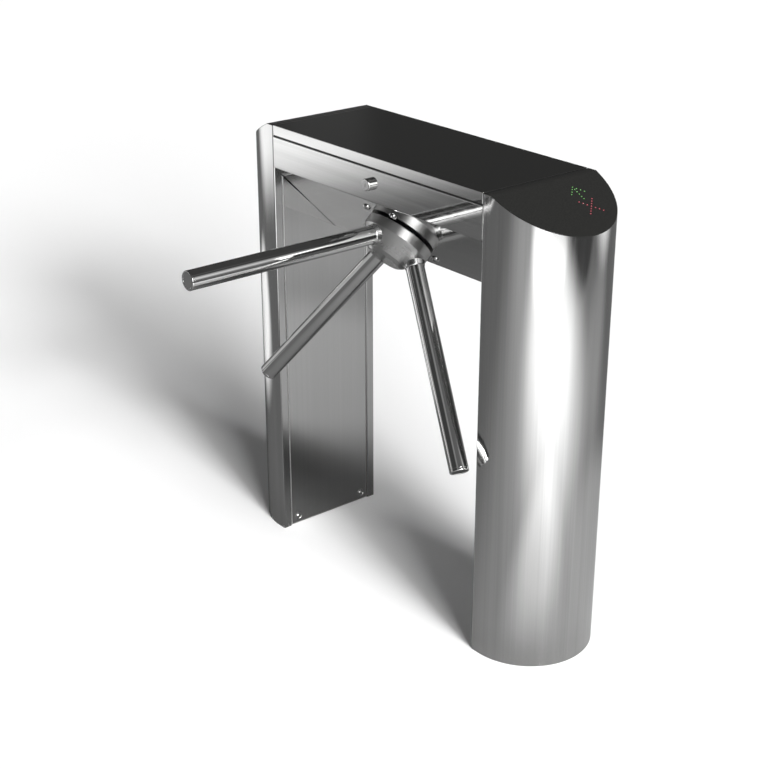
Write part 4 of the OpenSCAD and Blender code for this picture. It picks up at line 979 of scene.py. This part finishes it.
def addFloor(values):
    half = values["floorSize"] / 2
    mesh = bpy.data.meshes.new("studioFloor")
    corners = [(-half, -half, 0), (half, -half, 0), (half, half, 0), (-half, half, 0)]
    mesh.from_pydata(corners, [], [(0, 1, 2, 3)])
    floor = bpy.data.objects.new("studioFloor", mesh)
    scene.collection.objects.link(floor)
    material = bpy.data.materials.new("studioFloor")
    material.use_nodes = True
    tree = material.node_tree
    tree.nodes.remove(tree.nodes["Principled BSDF"])
    coords = addNode(tree, "ShaderNodeTexCoord").outputs["Object"]
    rays = addNode(tree, "ShaderNodeLightPath").outputs
    seen = addPools(tree, coords, values["floorBase"], values["floorPools"])
    toCamera = addMath(tree, "MULTIPLY", rays["Is Camera Ray"], values["floorWhite"])
    toMetal = addMath(tree, "MULTIPLY", rays["Is Glossy Ray"], seen)
    direct = addMath(tree, "ADD", toCamera, toMetal)
    rest = addMath(tree, "MULTIPLY", otherRays(tree, rays), values["bounce"])
    diffuse = addNode(tree, "ShaderNodeBsdfDiffuse")
    tree.links.new(addMath(tree, "ADD", direct, rest), diffuse.inputs["Color"])
    lift = addNode(tree, "ShaderNodeEmission")
    cameraLift = addMath(tree, "MULTIPLY", rays["Is Camera Ray"], values["floorLift"])
    metalLift = addMath(tree, "MULTIPLY", rays["Is Glossy Ray"], values["metalLift"])
    tree.links.new(addMath(tree, "ADD", cameraLift, metalLift), lift.inputs["Strength"])
    both = addNode(tree, "ShaderNodeAddShader")
    tree.links.new(diffuse.outputs[0], both.inputs[0])
    tree.links.new(lift.outputs[0], both.inputs[1])
    tree.links.new(both.outputs[0], tree.nodes["Material Output"].inputs["Surface"])
    mesh.materials.append(material)
    floor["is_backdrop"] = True
    return floor


def addWorld(values):
    world = bpy.data.worlds.new("Studio")
    scene.world = world
    world.use_nodes = True
    tree = world.node_tree
    background = tree.nodes["Background"]
    background.inputs["Color"].default_value = (1, 1, 1, 1)
    rays = addNode(tree, "ShaderNodeLightPath").outputs
    split = addNode(tree, "ShaderNodeSeparateXYZ")
    tree.links.new(addNode(tree, "ShaderNodeTexCoord").outputs["Generated"], split.inputs[0])
    place = addNode(tree, "ShaderNodeCombineXYZ")
    azimuth = addMath(tree, "ARCTAN2", split.outputs["Y"], split.outputs["X"])
    elevation = addMath(tree, "ARCSINE", split.outputs["Z"])
    tree.links.new(addMath(tree, "DEGREES", azimuth), place.inputs["X"])
    tree.links.new(addMath(tree, "DEGREES", elevation), place.inputs["Y"])
    seen = addPools(tree, place.outputs[0], values["skyBase"], values["skyPools"])
    toMetal = addMath(tree, "MULTIPLY", seen, rays["Is Glossy Ray"])
    direct = addMath(tree, "ADD", toMetal, rays["Is Camera Ray"])
    rest = addMath(tree, "MULTIPLY", otherRays(tree, rays), values["ambient"])
    total = addMath(tree, "ADD", direct, rest)
    tree.links.new(total, background.inputs["Strength"])


def addLamp(name, azimuth, elevation, angle, strength):
    data = bpy.data.lights.new(name, "SUN")
    data.energy = strength
    data.angle = math.radians(angle)
    lamp = bpy.data.objects.new(name, data)
    scene.collection.objects.link(lamp)
    azimuth, elevation = math.radians(azimuth), math.radians(elevation)
    level = math.cos(elevation)
    toLamp = Vector((math.cos(azimuth) * level, math.sin(azimuth) * level, math.sin(elevation)))
    turn = toLamp.to_track_quat("Z", "Y").to_matrix().to_4x4()
    lamp.matrix_world = Matrix.Translation(toLamp * studio["lampDistance"]) @ turn
    return lamp


floor = addFloor(studio)
addWorld(studio)
keyLamp = addLamp("keyLamp", studio["keyAzimuth"], studio["keyElevation"], studio["keyAngle"],
                  studio["keyStrength"])

# The floor has lamps of its own for its shadow, and the key lamp leaves it out
floorOnly = bpy.data.collections.new("FloorOnly")
floorOnly.objects.link(floor)
allButFloor = bpy.data.collections.new("AllButFloor")
allButFloor.objects.link(floor)
allButFloor.collection_objects[0].light_linking.link_state = "EXCLUDE"
keyLamp.light_linking.receiver_collection = allButFloor
for name, values in studio["floorLamps"].items():
    addLamp(name, *values).light_linking.receiver_collection = floorOnly
print("studio built")

low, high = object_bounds()
